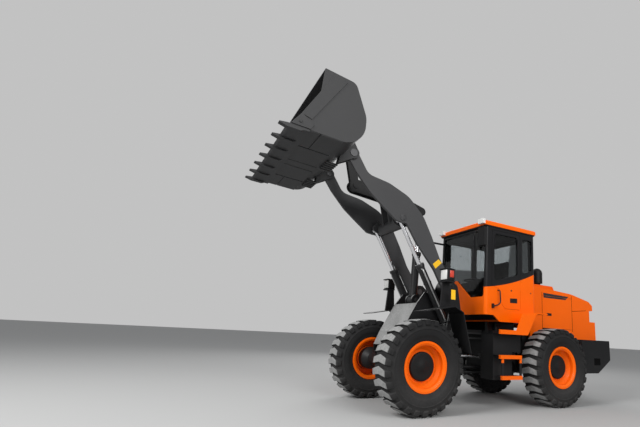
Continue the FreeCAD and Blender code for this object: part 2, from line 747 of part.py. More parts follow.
def rear_frame():
    lug_out = HITCH_LUG_T / 2 + MOVE_GAP
    root = REAR_BULKHEAD_X
    pieces = []
    for z in (HITCH_TOP_Z, HITCH_LOW_Z):
        pieces.append(hitch_lug(z + lug_out, HITCH_FORK_T, root, REAR_BULKHEAD_HALF_Y))
        pieces.append(hitch_lug(z - lug_out - HITCH_FORK_T, HITCH_FORK_T, root, REAR_BULKHEAD_HALF_Y))
    bulkhead_z = (HITCH_LOW_Z - lug_out - HITCH_FORK_T, CAB_BEAM_TOP)
    pieces.append(box((root - REAR_PLATE_T, root), (-REAR_BULKHEAD_HALF_Y, REAR_BULKHEAD_HALF_Y), bulkhead_z))
    neck = box((REAR_NECK_END_X, root), REAR_NECK_Y, (REAR_NECK_BOTTOM, REAR_RAIL_TOP))
    rail = box((REAR_RAIL_END_X, REAR_NECK_END_X), REAR_RAIL_Y, (REAR_RAIL_BOTTOM, REAR_RAIL_TOP))
    pieces += both_sides(neck).Solids + both_sides(rail).Solids
    rail_out = REAR_RAIL_Y[1]
    cross_z = (REAR_RAIL_BOTTOM, REAR_RAIL_TOP)
    for x in (REAR_NECK_END_X, REAR_RAIL_END_X + REAR_PLATE_T):
        low = REAR_NECK_BOTTOM if x == REAR_NECK_END_X else REAR_RAIL_BOTTOM
        pieces.append(box((x - REAR_PLATE_T, x), (-rail_out, rail_out), (low, REAR_RAIL_TOP)))
    # Beams that carry the cab and the side tanks
    beam_z = (REAR_RAIL_TOP - HITCH_LUG_T, CAB_BEAM_TOP)
    sill = box((CAB_REAR_BEAM_X[1], CAB_BEAM_X[1]), CAB_SILL_Y, (REAR_RAIL_TOP, CAB_BEAM_TOP))
    riser = box((CAB_ARCH_X, CAB_KINK_X[0]), CAB_SILL_Y, (REAR_RAIL_TOP, CAB_BOTTOM - SEAT))
    pieces += both_sides(fuse([sill, riser])).Solids
    pieces.append(box(CAB_BEAM_X, (-TANK_Y[0], TANK_Y[0]), (REAR_RAIL_TOP, CAB_BEAM_TOP)))
    pieces.append(box(CAB_REAR_BEAM_X, (-TANK_Y[0], TANK_Y[0]), beam_z))
    for x in (sum(CAB_BEAM_X) / 2, sum(CAB_REAR_BEAM_X) / 2):
        for y in (-1, 1):
            pieces.append(rod_z(x, y * CAB_MOUNT_Y, CAB_MOUNT_R, CAB_BEAM_TOP, CAB_BOTTOM - SEAT))
    # Engine feet
    for x in (ENGINE_X[0] + ENGINE_FOOT_IN_X, ENGINE_X[1] - ENGINE_FOOT_IN_X):
        foot = box((x - ENGINE_FOOT_HALF_X, x + ENGINE_FOOT_HALF_X),
                   (ENGINE_HALF_Y - ENGINE_FOOT_UNDER, REAR_RAIL_Y[0]),
                   (ENGINE_Z[0] - ENGINE_FOOT_T, ENGINE_Z[0] - SEAT))
        pieces += both_sides(foot).Solids
    # Cradle plates in which the rear axle rocks
    axle_x = REAR_AXLE_X
    for sign in (-1, 1):
        x = tuple(axle_x + sign * v for v in CRADLE_X)
        pieces.append(box(x, (-CRADLE_HALF_Y, CRADLE_HALF_Y), (CRADLE_BOTTOM, REAR_RAIL_TOP)))
        pieces.append(box(x, (-rail_out, rail_out), cross_z))
    # Lugs for the steering cylinders
    base_x, base_y = STEER_BASE
    for low in steer_lug_levels(STEER_BASE_EYE_HALF_Z):
        lug = fuse([rod_z(base_x, base_y, STEER_EYE_R + STEER_LUG_EDGE, low, low + STEER_LUG_T),
                    box((REAR_NECK_END_X, base_x), (base_y - STEER_LUG_HALF_Y, base_y + STEER_LUG_HALF_Y),
                        (low, low + STEER_LUG_T)),
                    box((REAR_NECK_END_X - REAR_PLATE_T, REAR_NECK_END_X),
                        (REAR_RAIL_Y[0], base_y + STEER_LUG_HALF_Y),
                        (low - STEER_PAD_RISE, low + STEER_LUG_T + STEER_PAD_RISE))])
        pieces += both_sides(lug).Solids
    frame = fuse(pieces)
    holes = [rod_z(0, 0, HITCH_PIN_R + SEAT, REAR_NECK_BOTTOM - CUT_PAST, CAB_BEAM_TOP)]
    holes.append(rod_x(0, TYRE_R, TRUNNION_R + SEAT, axle_x - CRADLE_X[1] - CUT_PAST,
                       axle_x + CRADLE_X[1] + CUT_PAST))
    through = (STEER_Z - CUT_THROUGH, STEER_Z + CUT_THROUGH)
    for side in (-1, 1):
        holes.append(rod_z(base_x, side * base_y, STEER_PIN_R + SEAT, *through))
    return frame.cut(Part.makeCompound(holes))


def steer_lug_levels(eye_half):
    """Undersides of the two lug plates that hold a steering cylinder's eye."""
    gap = eye_half + MOVE_GAP
    return (STEER_Z + gap, STEER_Z - gap - STEER_LUG_T)


def steer_pins():
    """Pins that hold the steering cylinders in the rear frame."""
    reach = STEER_BASE_EYE_HALF_Z + MOVE_GAP + STEER_LUG_T + SEAT
    pin = fuse([rod_z(*STEER_BASE, STEER_PIN_R, STEER_Z - reach, STEER_Z + reach),
                rod_z(*STEER_BASE, STEER_PIN_R + STEER_HEAD_OVER, STEER_Z + reach, STEER_Z + reach + PIN_HEAD_T)])
    return both_sides(pin)


def engine_block():
    return box(ENGINE_X, (-ENGINE_HALF_Y, ENGINE_HALF_Y), ENGINE_Z)


def counterweight():
    """Cast weight wrapped round the frame's tail, with a tow-pin jaw."""
    side = ((COUNTER_FRONT_X, COUNTER_BOTTOM), (COUNTER_CHAMFER_X, COUNTER_BOTTOM),
            (COUNTER_REAR_X, COUNTER_CHAMFER_TOP), (COUNTER_REAR_X, COUNTER_TOP),
            (COUNTER_FRONT_X, COUNTER_TOP))
    plan = ((COUNTER_FRONT_X, -COUNTER_HALF_Y), (COUNTER_FRONT_X, COUNTER_HALF_Y),
            (COUNTER_CORNER_X, COUNTER_HALF_Y, COUNTER_CORNER_R),
            (COUNTER_REAR_X, COUNTER_REAR_HALF_Y, COUNTER_REAR_R),
            (COUNTER_REAR_X, -COUNTER_REAR_HALF_Y, COUNTER_REAR_R),
            (COUNTER_CORNER_X, -COUNTER_HALF_Y, COUNTER_CORNER_R))
    weight = plate_y(side, (-COUNTER_HALF_Y, COUNTER_HALF_Y)).common(plate_z(plan, (COUNTER_BOTTOM, COUNTER_TOP)))
    frame_y = REAR_RAIL_Y[1] + SEAT
    channel = box((REAR_RAIL_END_X - SEAT, 0), (-frame_y, frame_y), (0, COUNTER_TOP + CUT_PAST))
    slot = box((COUNTER_REAR_X - CUT_PAST, TOW_PIN_X + TOW_SLOT_FRONT),
               (-TOW_SLOT_HALF_Y, TOW_SLOT_HALF_Y), TOW_SLOT_Z)
    hole = rod_z(TOW_PIN_X, 0, TOW_PIN_R, TOW_HOLE_BOTTOM, COUNTER_TOP + CUT_PAST)
    return weight.cut(Part.makeCompound([channel, slot, hole]))


def bonnet_side(inset):
    """Side outline of the bonnet, drawn in by a wall."""
    band_low, band_top = BONNET_BAND_Z
    slant = inset * BONNET_SLANT_SHARE
    top = BONNET_TOP_FRONT_Z - inset
    return ((BONNET_FRONT_X, COUNTER_TOP + SEAT), (BONNET_FRONT_X, top),
            (BONNET_TOP_BEND[0], BONNET_TOP_BEND[1] - inset, BONNET_TOP_BEND_R),
            (BONNET_TAIL_TOP[0] + inset, BONNET_TAIL_TOP[1] - inset, BONNET_TAIL_R),
            (BONNET_BAND_X + inset, band_top - slant), (BONNET_BAND_X + inset, band_low),
            (BONNET_REAR_X + inset, band_low - slant), (BONNET_REAR_X + inset, COUNTER_TOP + SEAT))


def bonnet_solid(inset):
    half = BONNET_HALF_Y - inset
    solid = plate_y(bonnet_side(inset), (-half, half))
    low = COUNTER_TOP + SEAT
    edge = max(BONNET_EDGE_R - inset, BONNET_INNER_EDGE_R)
    crown = BONNET_TOP_FRONT_Z + BONNET_CROWN - inset
    section = ((-half, low), (half, low), (half, crown, edge), (-half, crown, edge))
    return solid.common(plate_x(section, (BONNET_BAND_X - CUT_PAST, BONNET_FRONT_X)))


def bonnet():
    """Sheet bonnet: top, tail band, corner lamp pods and side walls with a door opening each."""
    shell = bonnet_solid(0).cut(bonnet_solid(BONNET_WALL))
    bump_side = ((BONNET_BUMP_X[1], BONNET_TOP_BEND[1]), (BONNET_BUMP_X[1] - BONNET_BUMP_RAMP, BONNET_BUMP_TOP),
                 (BONNET_BUMP_X[0] + BONNET_BUMP_RAMP, BONNET_BUMP_TOP), (BONNET_BUMP_X[0], BONNET_TOP_BEND[1]))
    bump = plate_y(bump_side, (-BONNET_BUMP_HALF_Y, BONNET_BUMP_HALF_Y))
    pod = box((LAMP_POD_X, BONNET_REAR_X + BONNET_WALL), LAMP_POD_Y, (COUNTER_TOP + SEAT, LAMP_POD_TOP))
    shell = fuse([shell, bump.cut(bonnet_solid(0))] + both_sides(pod).Solids)
    wall = (BONNET_HALF_Y - BONNET_WALL - CUT_PAST, BONNET_HALF_Y + CUT_PAST)
    gap = ENGINE_DOOR_GAP
    opening = box((ENGINE_DOOR_X[0] - gap, ENGINE_DOOR_X[1] + gap), wall,
                  (ENGINE_DOOR_Z[0] - gap, ENGINE_DOOR_Z[1] + gap))
    arch = box(ARCH_X, wall, (COUNTER_TOP, ARCH_TOP))
    grille_y = LAMP_POD_Y[0] - SEAT
    rear = box((BONNET_REAR_X - CUT_PAST, BONNET_REAR_X + BONNET_WALL + CUT_PAST), (-grille_y, grille_y), GRILLE_Z)
    front = box((BONNET_FRONT_X - BONNET_WALL - CUT_PAST, BONNET_FRONT_X + CUT_PAST),
                (-BONNET_HALF_Y + BONNET_WALL, BONNET_HALF_Y - BONNET_WALL),
                (COUNTER_TOP, BONNET_TOP_FRONT_Z - BONNET_WALL))
    shell = shell.cut(Part.makeCompound(both_sides(opening).Solids + both_sides(arch).Solids + [rear, front]))
    hinges = []
    for share in DOOR_HINGE_SHARES:
        x = ENGINE_DOOR_X[0] + (ENGINE_DOOR_X[1] - ENGINE_DOOR_X[0]) * share
        hinge = box((x - DOOR_HINGE_HALF, x + DOOR_HINGE_HALF), (BONNET_HALF_Y - BONNET_WALL, BONNET_HALF_Y),
                    (ENGINE_DOOR_Z[1] + SEAT, ENGINE_DOOR_Z[1] + gap + CUT_PAST))
        hinges += both_sides(hinge).Solids
    return fuse([shell] + hinges)


def engine_door(side):
    """Side door of the bonnet, hung along its top edge."""
    door = box(ENGINE_DOOR_X, (BONNET_HALF_Y - BONNET_WALL, BONNET_HALF_Y), ENGINE_DOOR_Z)
    return door if side > 0 else door.mirror(V(0, 0, 0), V(0, 1, 0))


def rear_grille():
    """Frame with level louvre bars across the tail."""
    half = LAMP_POD_Y[0] - 2 * SEAT
    x = (BONNET_REAR_X, BONNET_REAR_X + GRILLE_T)
    inner = half - GRILLE_BORDER
    low, top = GRILLE_Z[0] + SEAT, GRILLE_Z[1] - SEAT
    frame = box(x, (-half, half), (low, top)).cut(
        box((x[0] - CUT_PAST, x[1] + CUT_PAST), (-inner, inner), (low + GRILLE_BORDER, top - GRILLE_BORDER)))
    count = int((top - low - 2 * GRILLE_BORDER) / GRILLE_PITCH)
    bar_x = (x[0] + GRILLE_BAR_IN, x[1] - GRILLE_BAR_IN)
    bar_half = inner + CUT_PAST
    bars = []
    for i in range(count):
        z = low + GRILLE_BORDER + GRILLE_PITCH * (i + 0.5)
        bars.append(box(bar_x, (-bar_half, bar_half), (z, z + GRILLE_BAR_Z)))
    return fuse([frame] + bars)


def tail_lamps():
    depth, width, height = TAIL_LAMP_SIZE
    x = LAMP_POD_X
    y = sum(LAMP_POD_Y) / 2
    z = LAMP_POD_TOP - TAIL_LAMP_DROP
    return both_sides(box((x - depth, x), (y - width / 2, y + width / 2), (z - height / 2, z + height / 2)))


def exhaust():
    """Stack with a rounded cap on the raised middle of the bonnet."""
    neck = rod_z(EXHAUST_X, 0, EXHAUST_NECK_R, BONNET_BUMP_TOP, EXHAUST_BODY_Z)
    body = rod_z(EXHAUST_X, 0, EXHAUST_R, EXHAUST_BODY_Z, EXHAUST_TOP - EXHAUST_R)
    cap = Part.makeSphere(EXHAUST_R, V(EXHAUST_X, 0, EXHAUST_TOP - EXHAUST_R), V(0, 0, 1), 0, 90, 360)
    return fuse([neck, body, cap])


def side_tanks():
    back = box((TANK_BACK_X, TANK_X[0]), TANK_Y, (TANK_BACK_BOTTOM, TANK_Z[1]))
    return both_sides(fuse([box(TANK_X, TANK_Y, TANK_Z), back]))


def steps():
    """Two treads a side, each a plate behind an outer bar; the lower one hangs on two straps."""
    pieces = []
    for level, (top, front, back) in enumerate(STEP_TABLE):
        inner = TANK_Y[1] + level * STEP_BAR_W
        pieces.append(box((back, front), (inner, STEP_OUT_Y), (top - STEP_PLATE_T, top)))
        pieces.append(box((back, front), (STEP_OUT_Y - STEP_BAR_W, STEP_OUT_Y), (top - STEP_T, top)))
    top, front, back = STEP_TABLE[-1]
    middle = STEP_OUT_Y - STEP_BAR_W / 2
    for x in (front - STEP_LINK_W, back):
        pieces.append(box((x, x + STEP_LINK_W), (middle - STEP_LINK_T / 2, middle + STEP_LINK_T / 2),
                          (top - STEP_T, STEP_TABLE[0][0])))
    return both_sides(fuse(pieces))


def rear_fenders():
    """Sheet over each rear wheel's front, with the barred ledge above the tank and an outer flare."""
    top = TANK_Z[1] + FENDER_T
    line = ((REAR_FENDER_FRONT_X, top), (REAR_FENDER_FOOT_X, top, FENDER_FOOT_R),
            (*REAR_FENDER_BEND, FENDER_BEND_R), (REAR_FENDER_BACK_X, REAR_FENDER_BEND[1]))
    sheet = strip_y(line, FENDER_T, (CAB_HALF_Y + SEAT, STEP_OUT_Y))
    inner = strip_y(line[:2], FENDER_T, (TANK_Y[0], STEP_OUT_Y))
    bar = box((REAR_FENDER_FOOT_X, REAR_FENDER_FRONT_X), (STEP_OUT_Y - LEDGE_BAR_W, STEP_OUT_Y),
              (TANK_Z[1], TANK_Z[1] + LEDGE_BAR_T))
    flare_points = REAR_FENDER_FLARE + (REAR_FENDER_BEND, (REAR_FENDER_FOOT_X, top))
    flare = plate_y(flare_points, (STEP_OUT_Y - FENDER_T, STEP_OUT_Y))
    return both_sides(fuse([sheet, inner, bar, flare]))


# Cab

def cab_side(inset):
    """Side outline of the cab, drawn in by a wall."""
    outline = ((CAB_FRONT_X, CAB_FRONT_BOTTOM), (CAB_TOP_FRONT_X, CAB_TOP), (CAB_TOP_REAR_X, CAB_TOP),
               (CAB_REAR_X, CAB_REAR_BOTTOM), (CAB_ARCH_X, CAB_BOTTOM), (CAB_KINK_X[0], CAB_BOTTOM),
               (CAB_KINK_X[1], CAB_FRONT_BOTTOM))
    return drawn_in(outline, inset)


def cab_solid(inset):
    half = CAB_HALF_Y - inset
    solid = plate_y(cab_side(inset), (-half, half))
    edge = max(CAB_CORNER_R - inset, CAB_INNER_CORNER_R)
    plan = ((CAB_REAR_X, -half, edge), (CAB_REAR_X, half, edge), (CAB_FRONT_X, half, edge),
            (CAB_FRONT_X, -half, edge))
    return solid if inset else solid.common(plate_z(plan, (CAB_BOTTOM, CAB_TOP)))


def door_outline(inset):
    """Side outline of the door, drawn in; its lower part is shorter and has a slanted front corner."""
    (back, front), (low, top) = DOOR_X, DOOR_Z
    radius = DOOR_CORNER_R
    foot = tuple((x, z, radius) for x, z in DOOR_FOOT)
    head = ((front, DOOR_BEND_Z, radius), (front, top, radius), (back, top, radius))
    outline = ((back, low, radius),) + foot + head
    return drawn_in(outline, inset)


def window_outline(across, bottom, top, inset):
    """Window with rounded corners; bottom holds its rear or right height and its front or left one."""
    radius = WINDOW_CORNER_R
    outline = ((across[0], bottom[0], radius), (across[1], bottom[1], radius), (across[1], top, radius),
               (across[0], top, radius))
    return drawn_in(outline, inset)


def door_window(inset):
    across = (DOOR_X[0] + DOOR_FRAME, DOOR_X[1] - DOOR_FRAME)
    return window_outline(across, DOOR_GLASS_BOTTOM, WINDOW_TOP, inset)


def side_window(inset):
    return window_outline(SIDE_WINDOW_X, SIDE_WINDOW_BOTTOM, WINDOW_TOP, inset)


def front_window(inset):
    """Outline in Y and Z: low glass beside the door, raised over the panel on the other side."""
    half = FRONT_WINDOW_HALF_Y
    low, top = FRONT_WINDOW_Z
    foot, head = FRONT_PANEL_Y
    radius = WINDOW_CORNER_R
    outline = ((-half, FRONT_PANEL_TOP, radius), (head, FRONT_PANEL_TOP, radius), (foot, low, radius),
               (half, low, radius), (half, top, radius), (-half, top, radius))
    return drawn_in(outline, inset)


def rear_window(inset):
    across = (-REAR_WINDOW_HALF_Y, REAR_WINDOW_HALF_Y)
    low, top = REAR_WINDOW_Z
    return window_outline(across, (low, low), top, inset)


def cab_shell():
    """Hollow cab: floor, walls and posts, with the door opening and the windows cut."""
    shell = cab_solid(0).cut(cab_solid(CAB_WALL))
    left = (CAB_HALF_Y - CAB_WALL - CUT_PAST, CAB_HALF_Y + CUT_PAST)
    right = (-left[1], -left[0])
    cuts = [plate_y(door_outline(-DOOR_GAP), left), plate_y(door_window(0), right),
            plate_y(side_window(0), left), plate_y(side_window(0), right),
            plate_x(front_window(0), (CAB_TOP_FRONT_X - 2 * CAB_WALL, CAB_FRONT_X + CUT_PAST)),
            plate_x(rear_window(0), (CAB_REAR_X - CUT_PAST, CAB_TOP_REAR_X + 2 * CAB_WALL))]
    hinges = []
    for z in CAB_HINGE_Z:
        hinges.append(box((DOOR_X[0] - DOOR_GAP - CUT_PAST, DOOR_X[0] - SEAT), (CAB_HALF_Y - CAB_WALL, CAB_HALF_Y),
                          (z - DOOR_HINGE_HALF, z + DOOR_HINGE_HALF)))
    return fuse([shell.cut(Part.makeCompound(cuts))] + hinges)


def cab_glass():
    """Panes of the windscreen, rear, side and right door windows, set in the middle of the wall."""
    middle = CAB_HALF_Y - CAB_WALL / 2
    left = (middle - GLASS_T / 2, middle + GLASS_T / 2)
    right = (-left[0], -left[1])
    front = cab_solid(CAB_WALL / 2 - GLASS_T / 2).cut(cab_solid(CAB_WALL / 2 + GLASS_T / 2))
    front_zone = plate_x(front_window(GLASS_GAP), (CAB_TOP_FRONT_X - CAB_WALL, CAB_FRONT_X))
    rear_zone = plate_x(rear_window(GLASS_GAP), (CAB_REAR_X, CAB_TOP_REAR_X + CAB_WALL))
    panes = [plate_y(side_window(GLASS_GAP), left), plate_y(side_window(GLASS_GAP), right),
             plate_y(door_window(GLASS_GAP), right)]
    panes += front.common(front_zone).Solids + front.common(rear_zone).Solids
    return Part.makeCompound(panes)


def cab_door():
    door = plate_y(door_outline(0), (CAB_HALF_Y - CAB_WALL, CAB_HALF_Y))
    return door.cut(plate_y(door_window(0), (CAB_HALF_Y - CAB_WALL - CUT_PAST, CAB_HALF_Y + CUT_PAST)))


def door_glass():
    middle = CAB_HALF_Y - CAB_WALL / 2
    return plate_y(door_window(GLASS_GAP), (middle - GLASS_T / 2, middle + GLASS_T / 2))


def cab_roof():
    half = CAB_HALF_Y + ROOF_OVERHANG
    x = (CAB_TOP_REAR_X - ROOF_OVERHANG, CAB_TOP_FRONT_X + 2 * ROOF_OVERHANG)
    roof = box(x, (-half, half), (CAB_TOP, CAB_TOP + ROOF_T))
    edges = [e for e in roof.Edges if min(v.Z for v in e.Vertexes) > CAB_TOP + ROOF_T / 2]
    return roof.makeFillet(ROOF_EDGE_R, edges)


def seat_base():
    floor = CAB_BOTTOM + CAB_WALL
    x = (SEAT_X[0] + SEAT_BASE_IN, SEAT_X[1] - SEAT_BASE_IN)
    half = SEAT_HALF_Y - SEAT_BASE_IN
    return box(x, (-half, half), (floor, SEAT_BASE_TOP))


def seat_cushions():
    """Cushion on the base and the backrest above its rear edge."""
    top = SEAT_BASE_TOP + SEAT_CUSHION_T
    cushion = box(SEAT_X, (-SEAT_HALF_Y, SEAT_HALF_Y), (SEAT_BASE_TOP, top))
    rear, front = SEAT_BACK_HEAD_X
    foot = SEAT_X[0]
    back_side = ((foot, top + SEAT), (foot + SEAT_BACK_FOOT_T, top + SEAT),
                 (foot + front, SEAT_BACK_TOP, SEAT_BACK_R), (foot + rear, SEAT_BACK_TOP, SEAT_BACK_R))
    half = SEAT_HALF_Y - SEAT_BACK_IN
    back = plate_y(back_side, (-half, half))
    return Part.makeCompound([cushion, back])


def steering_column():
    column = rod_z(COLUMN_X, 0, COLUMN_R, CAB_BOTTOM, COLUMN_TOP).common(cab_solid(CAB_WALL))
    wheel_z = COLUMN_TOP + STEERING_WHEEL_WIRE
    wheel = Part.makeTorus(STEERING_WHEEL_R, STEERING_WHEEL_WIRE, V(COLUMN_X, 0, wheel_z))
    hub = rod_z(COLUMN_X, 0, STEERING_HUB_R, COLUMN_TOP, wheel_z + STEERING_WHEEL_WIRE)
    spoke = box((COLUMN_X - STEERING_WHEEL_R, COLUMN_X + STEERING_WHEEL_R),
                (-STEERING_SPOKE_HALF_Y, STEERING_SPOKE_HALF_Y),
                (wheel_z - STEERING_SPOKE_HALF_Z, wheel_z + STEERING_SPOKE_HALF_Z))
    return fuse([column, wheel, hub, spoke])


def console():
    floor = CAB_BOTTOM + CAB_WALL
    return box(CONSOLE_X, CONSOLE_Y, (floor, CONSOLE_TOP))


def mirrors():
    """Mirror heads on arms from the front posts."""
    z = MIRROR_Z[1] - MIRROR_ARM_DROP
    foot_y = CAB_HALF_Y - MIRROR_FOOT_IN
    arm = rod_y(MIRROR_X, z, MIRROR_ARM_R, foot_y, MIRROR_Y)
    stay = rod_x(foot_y, z, MIRROR_STAY_R, CAB_TOP_FRONT_X - CAB_WALL / 2, MIRROR_X + MIRROR_STAY_R)
    head = box((MIRROR_X - MIRROR_SIZE[0] / 2, MIRROR_X + MIRROR_SIZE[0] / 2),
               (MIRROR_Y - MIRROR_SIZE[1] / 2, MIRROR_Y + MIRROR_SIZE[1] / 2), MIRROR_Z)
    return both_sides(fuse([arm, stay, head]).cut(cab_solid(0)))


def roof_lamps():
    """Work lamps on the front edge of the roof."""
    depth, width, height = ROOF_LAMP_SIZE
    x = CAB_TOP_FRONT_X + 2 * ROOF_OVERHANG + SEAT
    low = CAB_TOP + ROOF_LAMP_LIFT
    return both_sides(box((x, x + depth), (ROOF_LAMP_Y - width / 2, ROOF_LAMP_Y + width / 2), (low, low + height)))


# Front frame and what it carries

def tower_head():
    """Outline over the arm pivot, from its rear shoulder to its front one."""
    return tuple((ARM_PIVOT[0] + dx, ARM_PIVOT[1] + dz) for dx, dz in TOWER_HEAD)


def tower_outline():
    """Outer side plates round the arm pivot and the lift cylinder's base."""
    ax, az = ARM_PIVOT
    bx, bz = LIFT_BASE
    reach, rise, drop = TOWER_LIFT_FACE
    return ((TOWER_REAR_X, TOWER_BOTTOM), (TOWER_REAR_X, FRONT_SHOULDER_Z)) + tower_head() + (
        (ax + TOWER_CHIN[0], az + TOWER_CHIN[1]), (ax, TOWER_WAIST_Z),
        (bx + reach, bz + rise), (bx + reach, bz + drop), TOWER_FRONT, (TOWER_FRONT[0], TOWER_BOTTOM))


def front_core_outline():
    """Inner side plates, from the hitch to the nose above the axle."""
    ax, az = ARM_PIVOT
    return ((FRONT_BULKHEAD_X, FRONT_BOTTOM), (FRONT_BULKHEAD_X, FRONT_SHOULDER_Z)) + tower_head() + (
        (ax + CORE_CHIN[0], az + CORE_CHIN[1]), FRONT_CREST, FRONT_SLOPE_TOP, FRONT_SLOPE_LOW,
        (FRONT_NOSE_X, FRONT_NOSE_Z), (FRONT_NOSE_X, FRONT_PAD_Z), (FRONT_SHELF_X, FRONT_PAD_Z),
        (FRONT_BELLY_X, FRONT_BOTTOM))


def front_frame():
    ax, az = ARM_PIVOT
    bx, bz = LIFT_BASE
    inner_y, outer_y = FRONT_INNER_Y, FRONT_OUTER_Y
    core_half = inner_y[1]
    pieces = []
    side = fuse([plate_y(front_core_outline(), inner_y), plate_y(tower_outline(), outer_y)])
    pieces += side.Solids
    bulkhead_y = outer_y[1]
    pieces.append(box((TOWER_REAR_X, TOWER_REAR_X + FRONT_PLATE_T), (inner_y[0], bulkhead_y),
                      (TOWER_BOTTOM, FRONT_SHOULDER_Z)))
    # Pivot bosses and cylinder bosses that fill the room beside their eyes
    pieces.append(rod_y(ax, az, ARM_PIVOT_BOSS_R, inner_y[0], ARM_Y[0] - MOVE_GAP).cut(
        rod_y(ax, az, ARM_PIVOT_BOSS_R - FRONT_PLATE_T, 0, ARM_Y[0])))
    lift_in = LIFT_Y + LIFT_BASE_EYE_HALF_Y + MOVE_GAP
    pieces.append(rod_y(bx, bz, LIFT_LUG_R, lift_in, outer_y[1]))
    whole = []
    for piece in pieces:
        whole += both_sides(piece).Solids
    # Cross plates: bulkhead, belly, top of the slope and its face
    whole.append(box((FRONT_BULKHEAD_X, FRONT_BULKHEAD_X + FRONT_PLATE_T), (-core_half, core_half),
                     (FRONT_BOTTOM, FRONT_SHOULDER_Z)))
    whole.append(box((FRONT_BULKHEAD_X, FRONT_BELLY_X), (-core_half, core_half),
                     (FRONT_BOTTOM, FRONT_BOTTOM + FRONT_PLATE_T)))
    shelf = box((FRONT_SHELF_X, FRONT_NOSE_X), (AXLE_PAD_Y[0], core_half),
                (FRONT_PAD_Z, FRONT_PAD_Z + FRONT_PLATE_T))
    whole += both_sides(shelf).Solids
    slope = (FRONT_SLOPE_TOP, FRONT_SLOPE_LOW, (FRONT_NOSE_X, FRONT_NOSE_Z))
    whole.append(strip_y(slope, -FRONT_PLATE_T, (-core_half, core_half)))
    # Block that carries the tilt cylinder's base
    tx, tz = TILT_BASE
    (back, front), (low, high) = TILT_BLOCK_X, TILT_BLOCK_Z
    whole.append(box((tx + back, tx + front), (-core_half, core_half), (tz + low, tz + high)))
    foot_z = tz + sum(TILT_BLOCK_Z) / 2
    for sign in (-1, 1):
        lug_y = (sign * (TILT_BASE_EYE_HALF_Y + MOVE_GAP), sign * (TILT_BASE_EYE_HALF_Y + MOVE_GAP + TILT_LUG_T))
        whole.append(rod_y(tx, tz, TILT_LUG_R, *lug_y))
        whole.append(plate_y(((tx - TILT_LUG_R, tz), (tx + back, foot_z), (tx + front, foot_z),
                              (tx + TILT_LUG_R, tz)), lug_y))
    # Hitch lugs
    for z in (HITCH_TOP_Z, HITCH_LOW_Z):
        whole.append(hitch_lug(z - HITCH_LUG_T / 2, HITCH_LUG_T, FRONT_BULKHEAD_X, HITCH_ROOT_HALF_Y))
    # Steering cylinder lugs
    pin_x, pin_y = STEER_ROD_PIN
    for low in steer_lug_levels(STEER_EYE_HALF_Z):
        for sign in (-1, 1):
            whole.append(rod_z(pin_x, sign * pin_y, STEER_EYE_R + STEER_LUG_EDGE, low, low + STEER_LUG_T))
            lug_y = (sign * pin_y - STEER_LUG_HALF_Y, sign * pin_y + STEER_LUG_HALF_Y)
            whole.append(box((pin_x, FRONT_BULKHEAD_X), lug_y, (low, low + STEER_LUG_T)))
    frame = fuse(whole)
    holes = [rod_z(0, 0, HITCH_PIN_R + SEAT, FRONT_BOTTOM, HITCH_TOP_Z + HITCH_LUG_T),
             rod_y(tx, tz, TILT_PIN_R + SEAT, -CUT_THROUGH, CUT_THROUGH)]
    for sign in (-1, 1):
        through = (sign * (inner_y[0] - CUT_PAST), sign * (outer_y[1] + CUT_PAST))
        holes.append(rod_y(ax, az, ARM_PIVOT_PIN_R + SEAT, *through))
        holes.append(rod_y(bx, bz, LIFT_PIN_R + SEAT, *through))
    return frame.cut(Part.makeCompound(holes))


def frame_pins():
    """Pins that ride in the front frame: hitch, arm pivots, lift bases and tilt base."""
    pins = []
    for z in (HITCH_TOP_Z, HITCH_LOW_Z):
        reach = HITCH_LUG_T / 2 + MOVE_GAP + HITCH_FORK_T
        pins.append(fuse([rod_z(0, 0, HITCH_PIN_R, z - reach, z + reach + SEAT),
                          rod_z(0, 0, HITCH_PIN_HEAD_R, z + reach + SEAT, z + reach + SEAT + HITCH_PIN_HEAD_T)]))
    seat_y = FRONT_OUTER_Y[1] + SEAT
    for centre, radius in ((ARM_PIVOT, ARM_PIVOT_PIN_R), (LIFT_BASE, LIFT_PIN_R)):
        pin = fuse([rod_y(*centre, radius, FRONT_INNER_Y[0] - PIN_HEAD_T, seat_y),
                    rod_y(*centre, radius + PIN_HEAD_OVER, seat_y, seat_y + PIN_HEAD_T)])
        pins += both_sides(pin).Solids
    reach = TILT_BASE_EYE_HALF_Y + MOVE_GAP + TILT_LUG_T + PIN_HEAD_T
    pins.append(rod_y(*TILT_BASE, TILT_PIN_R, -reach, reach))
    return Part.makeCompound(pins)


def front_fenders():
    """Bent sheet over each front wheel's rear half, on a stay from the frame."""
    sheet = strip_y(fender_line(), FRONT_FENDER_T, FRONT_FENDER_Y)
    (top_x, top_z), (low_x, low_z) = FRONT_FENDER_LINE[-2:]
    pieces = [sheet]
    for z in FRONT_FENDER_STAY_Z:
        leg_x = low_x + (top_x - low_x) * (z - low_z) / (top_z - low_z)
        pieces.append(box((leg_x - FRONT_FENDER_STAY_W, leg_x + FRONT_FENDER_T / 2),
                          (FRONT_OUTER_Y[1], FRONT_FENDER_Y[0] + FRONT_FENDER_STAY_REACH),
                          (z, z + FRONT_FENDER_STAY_T)))
    return both_sides(fuse(pieces))


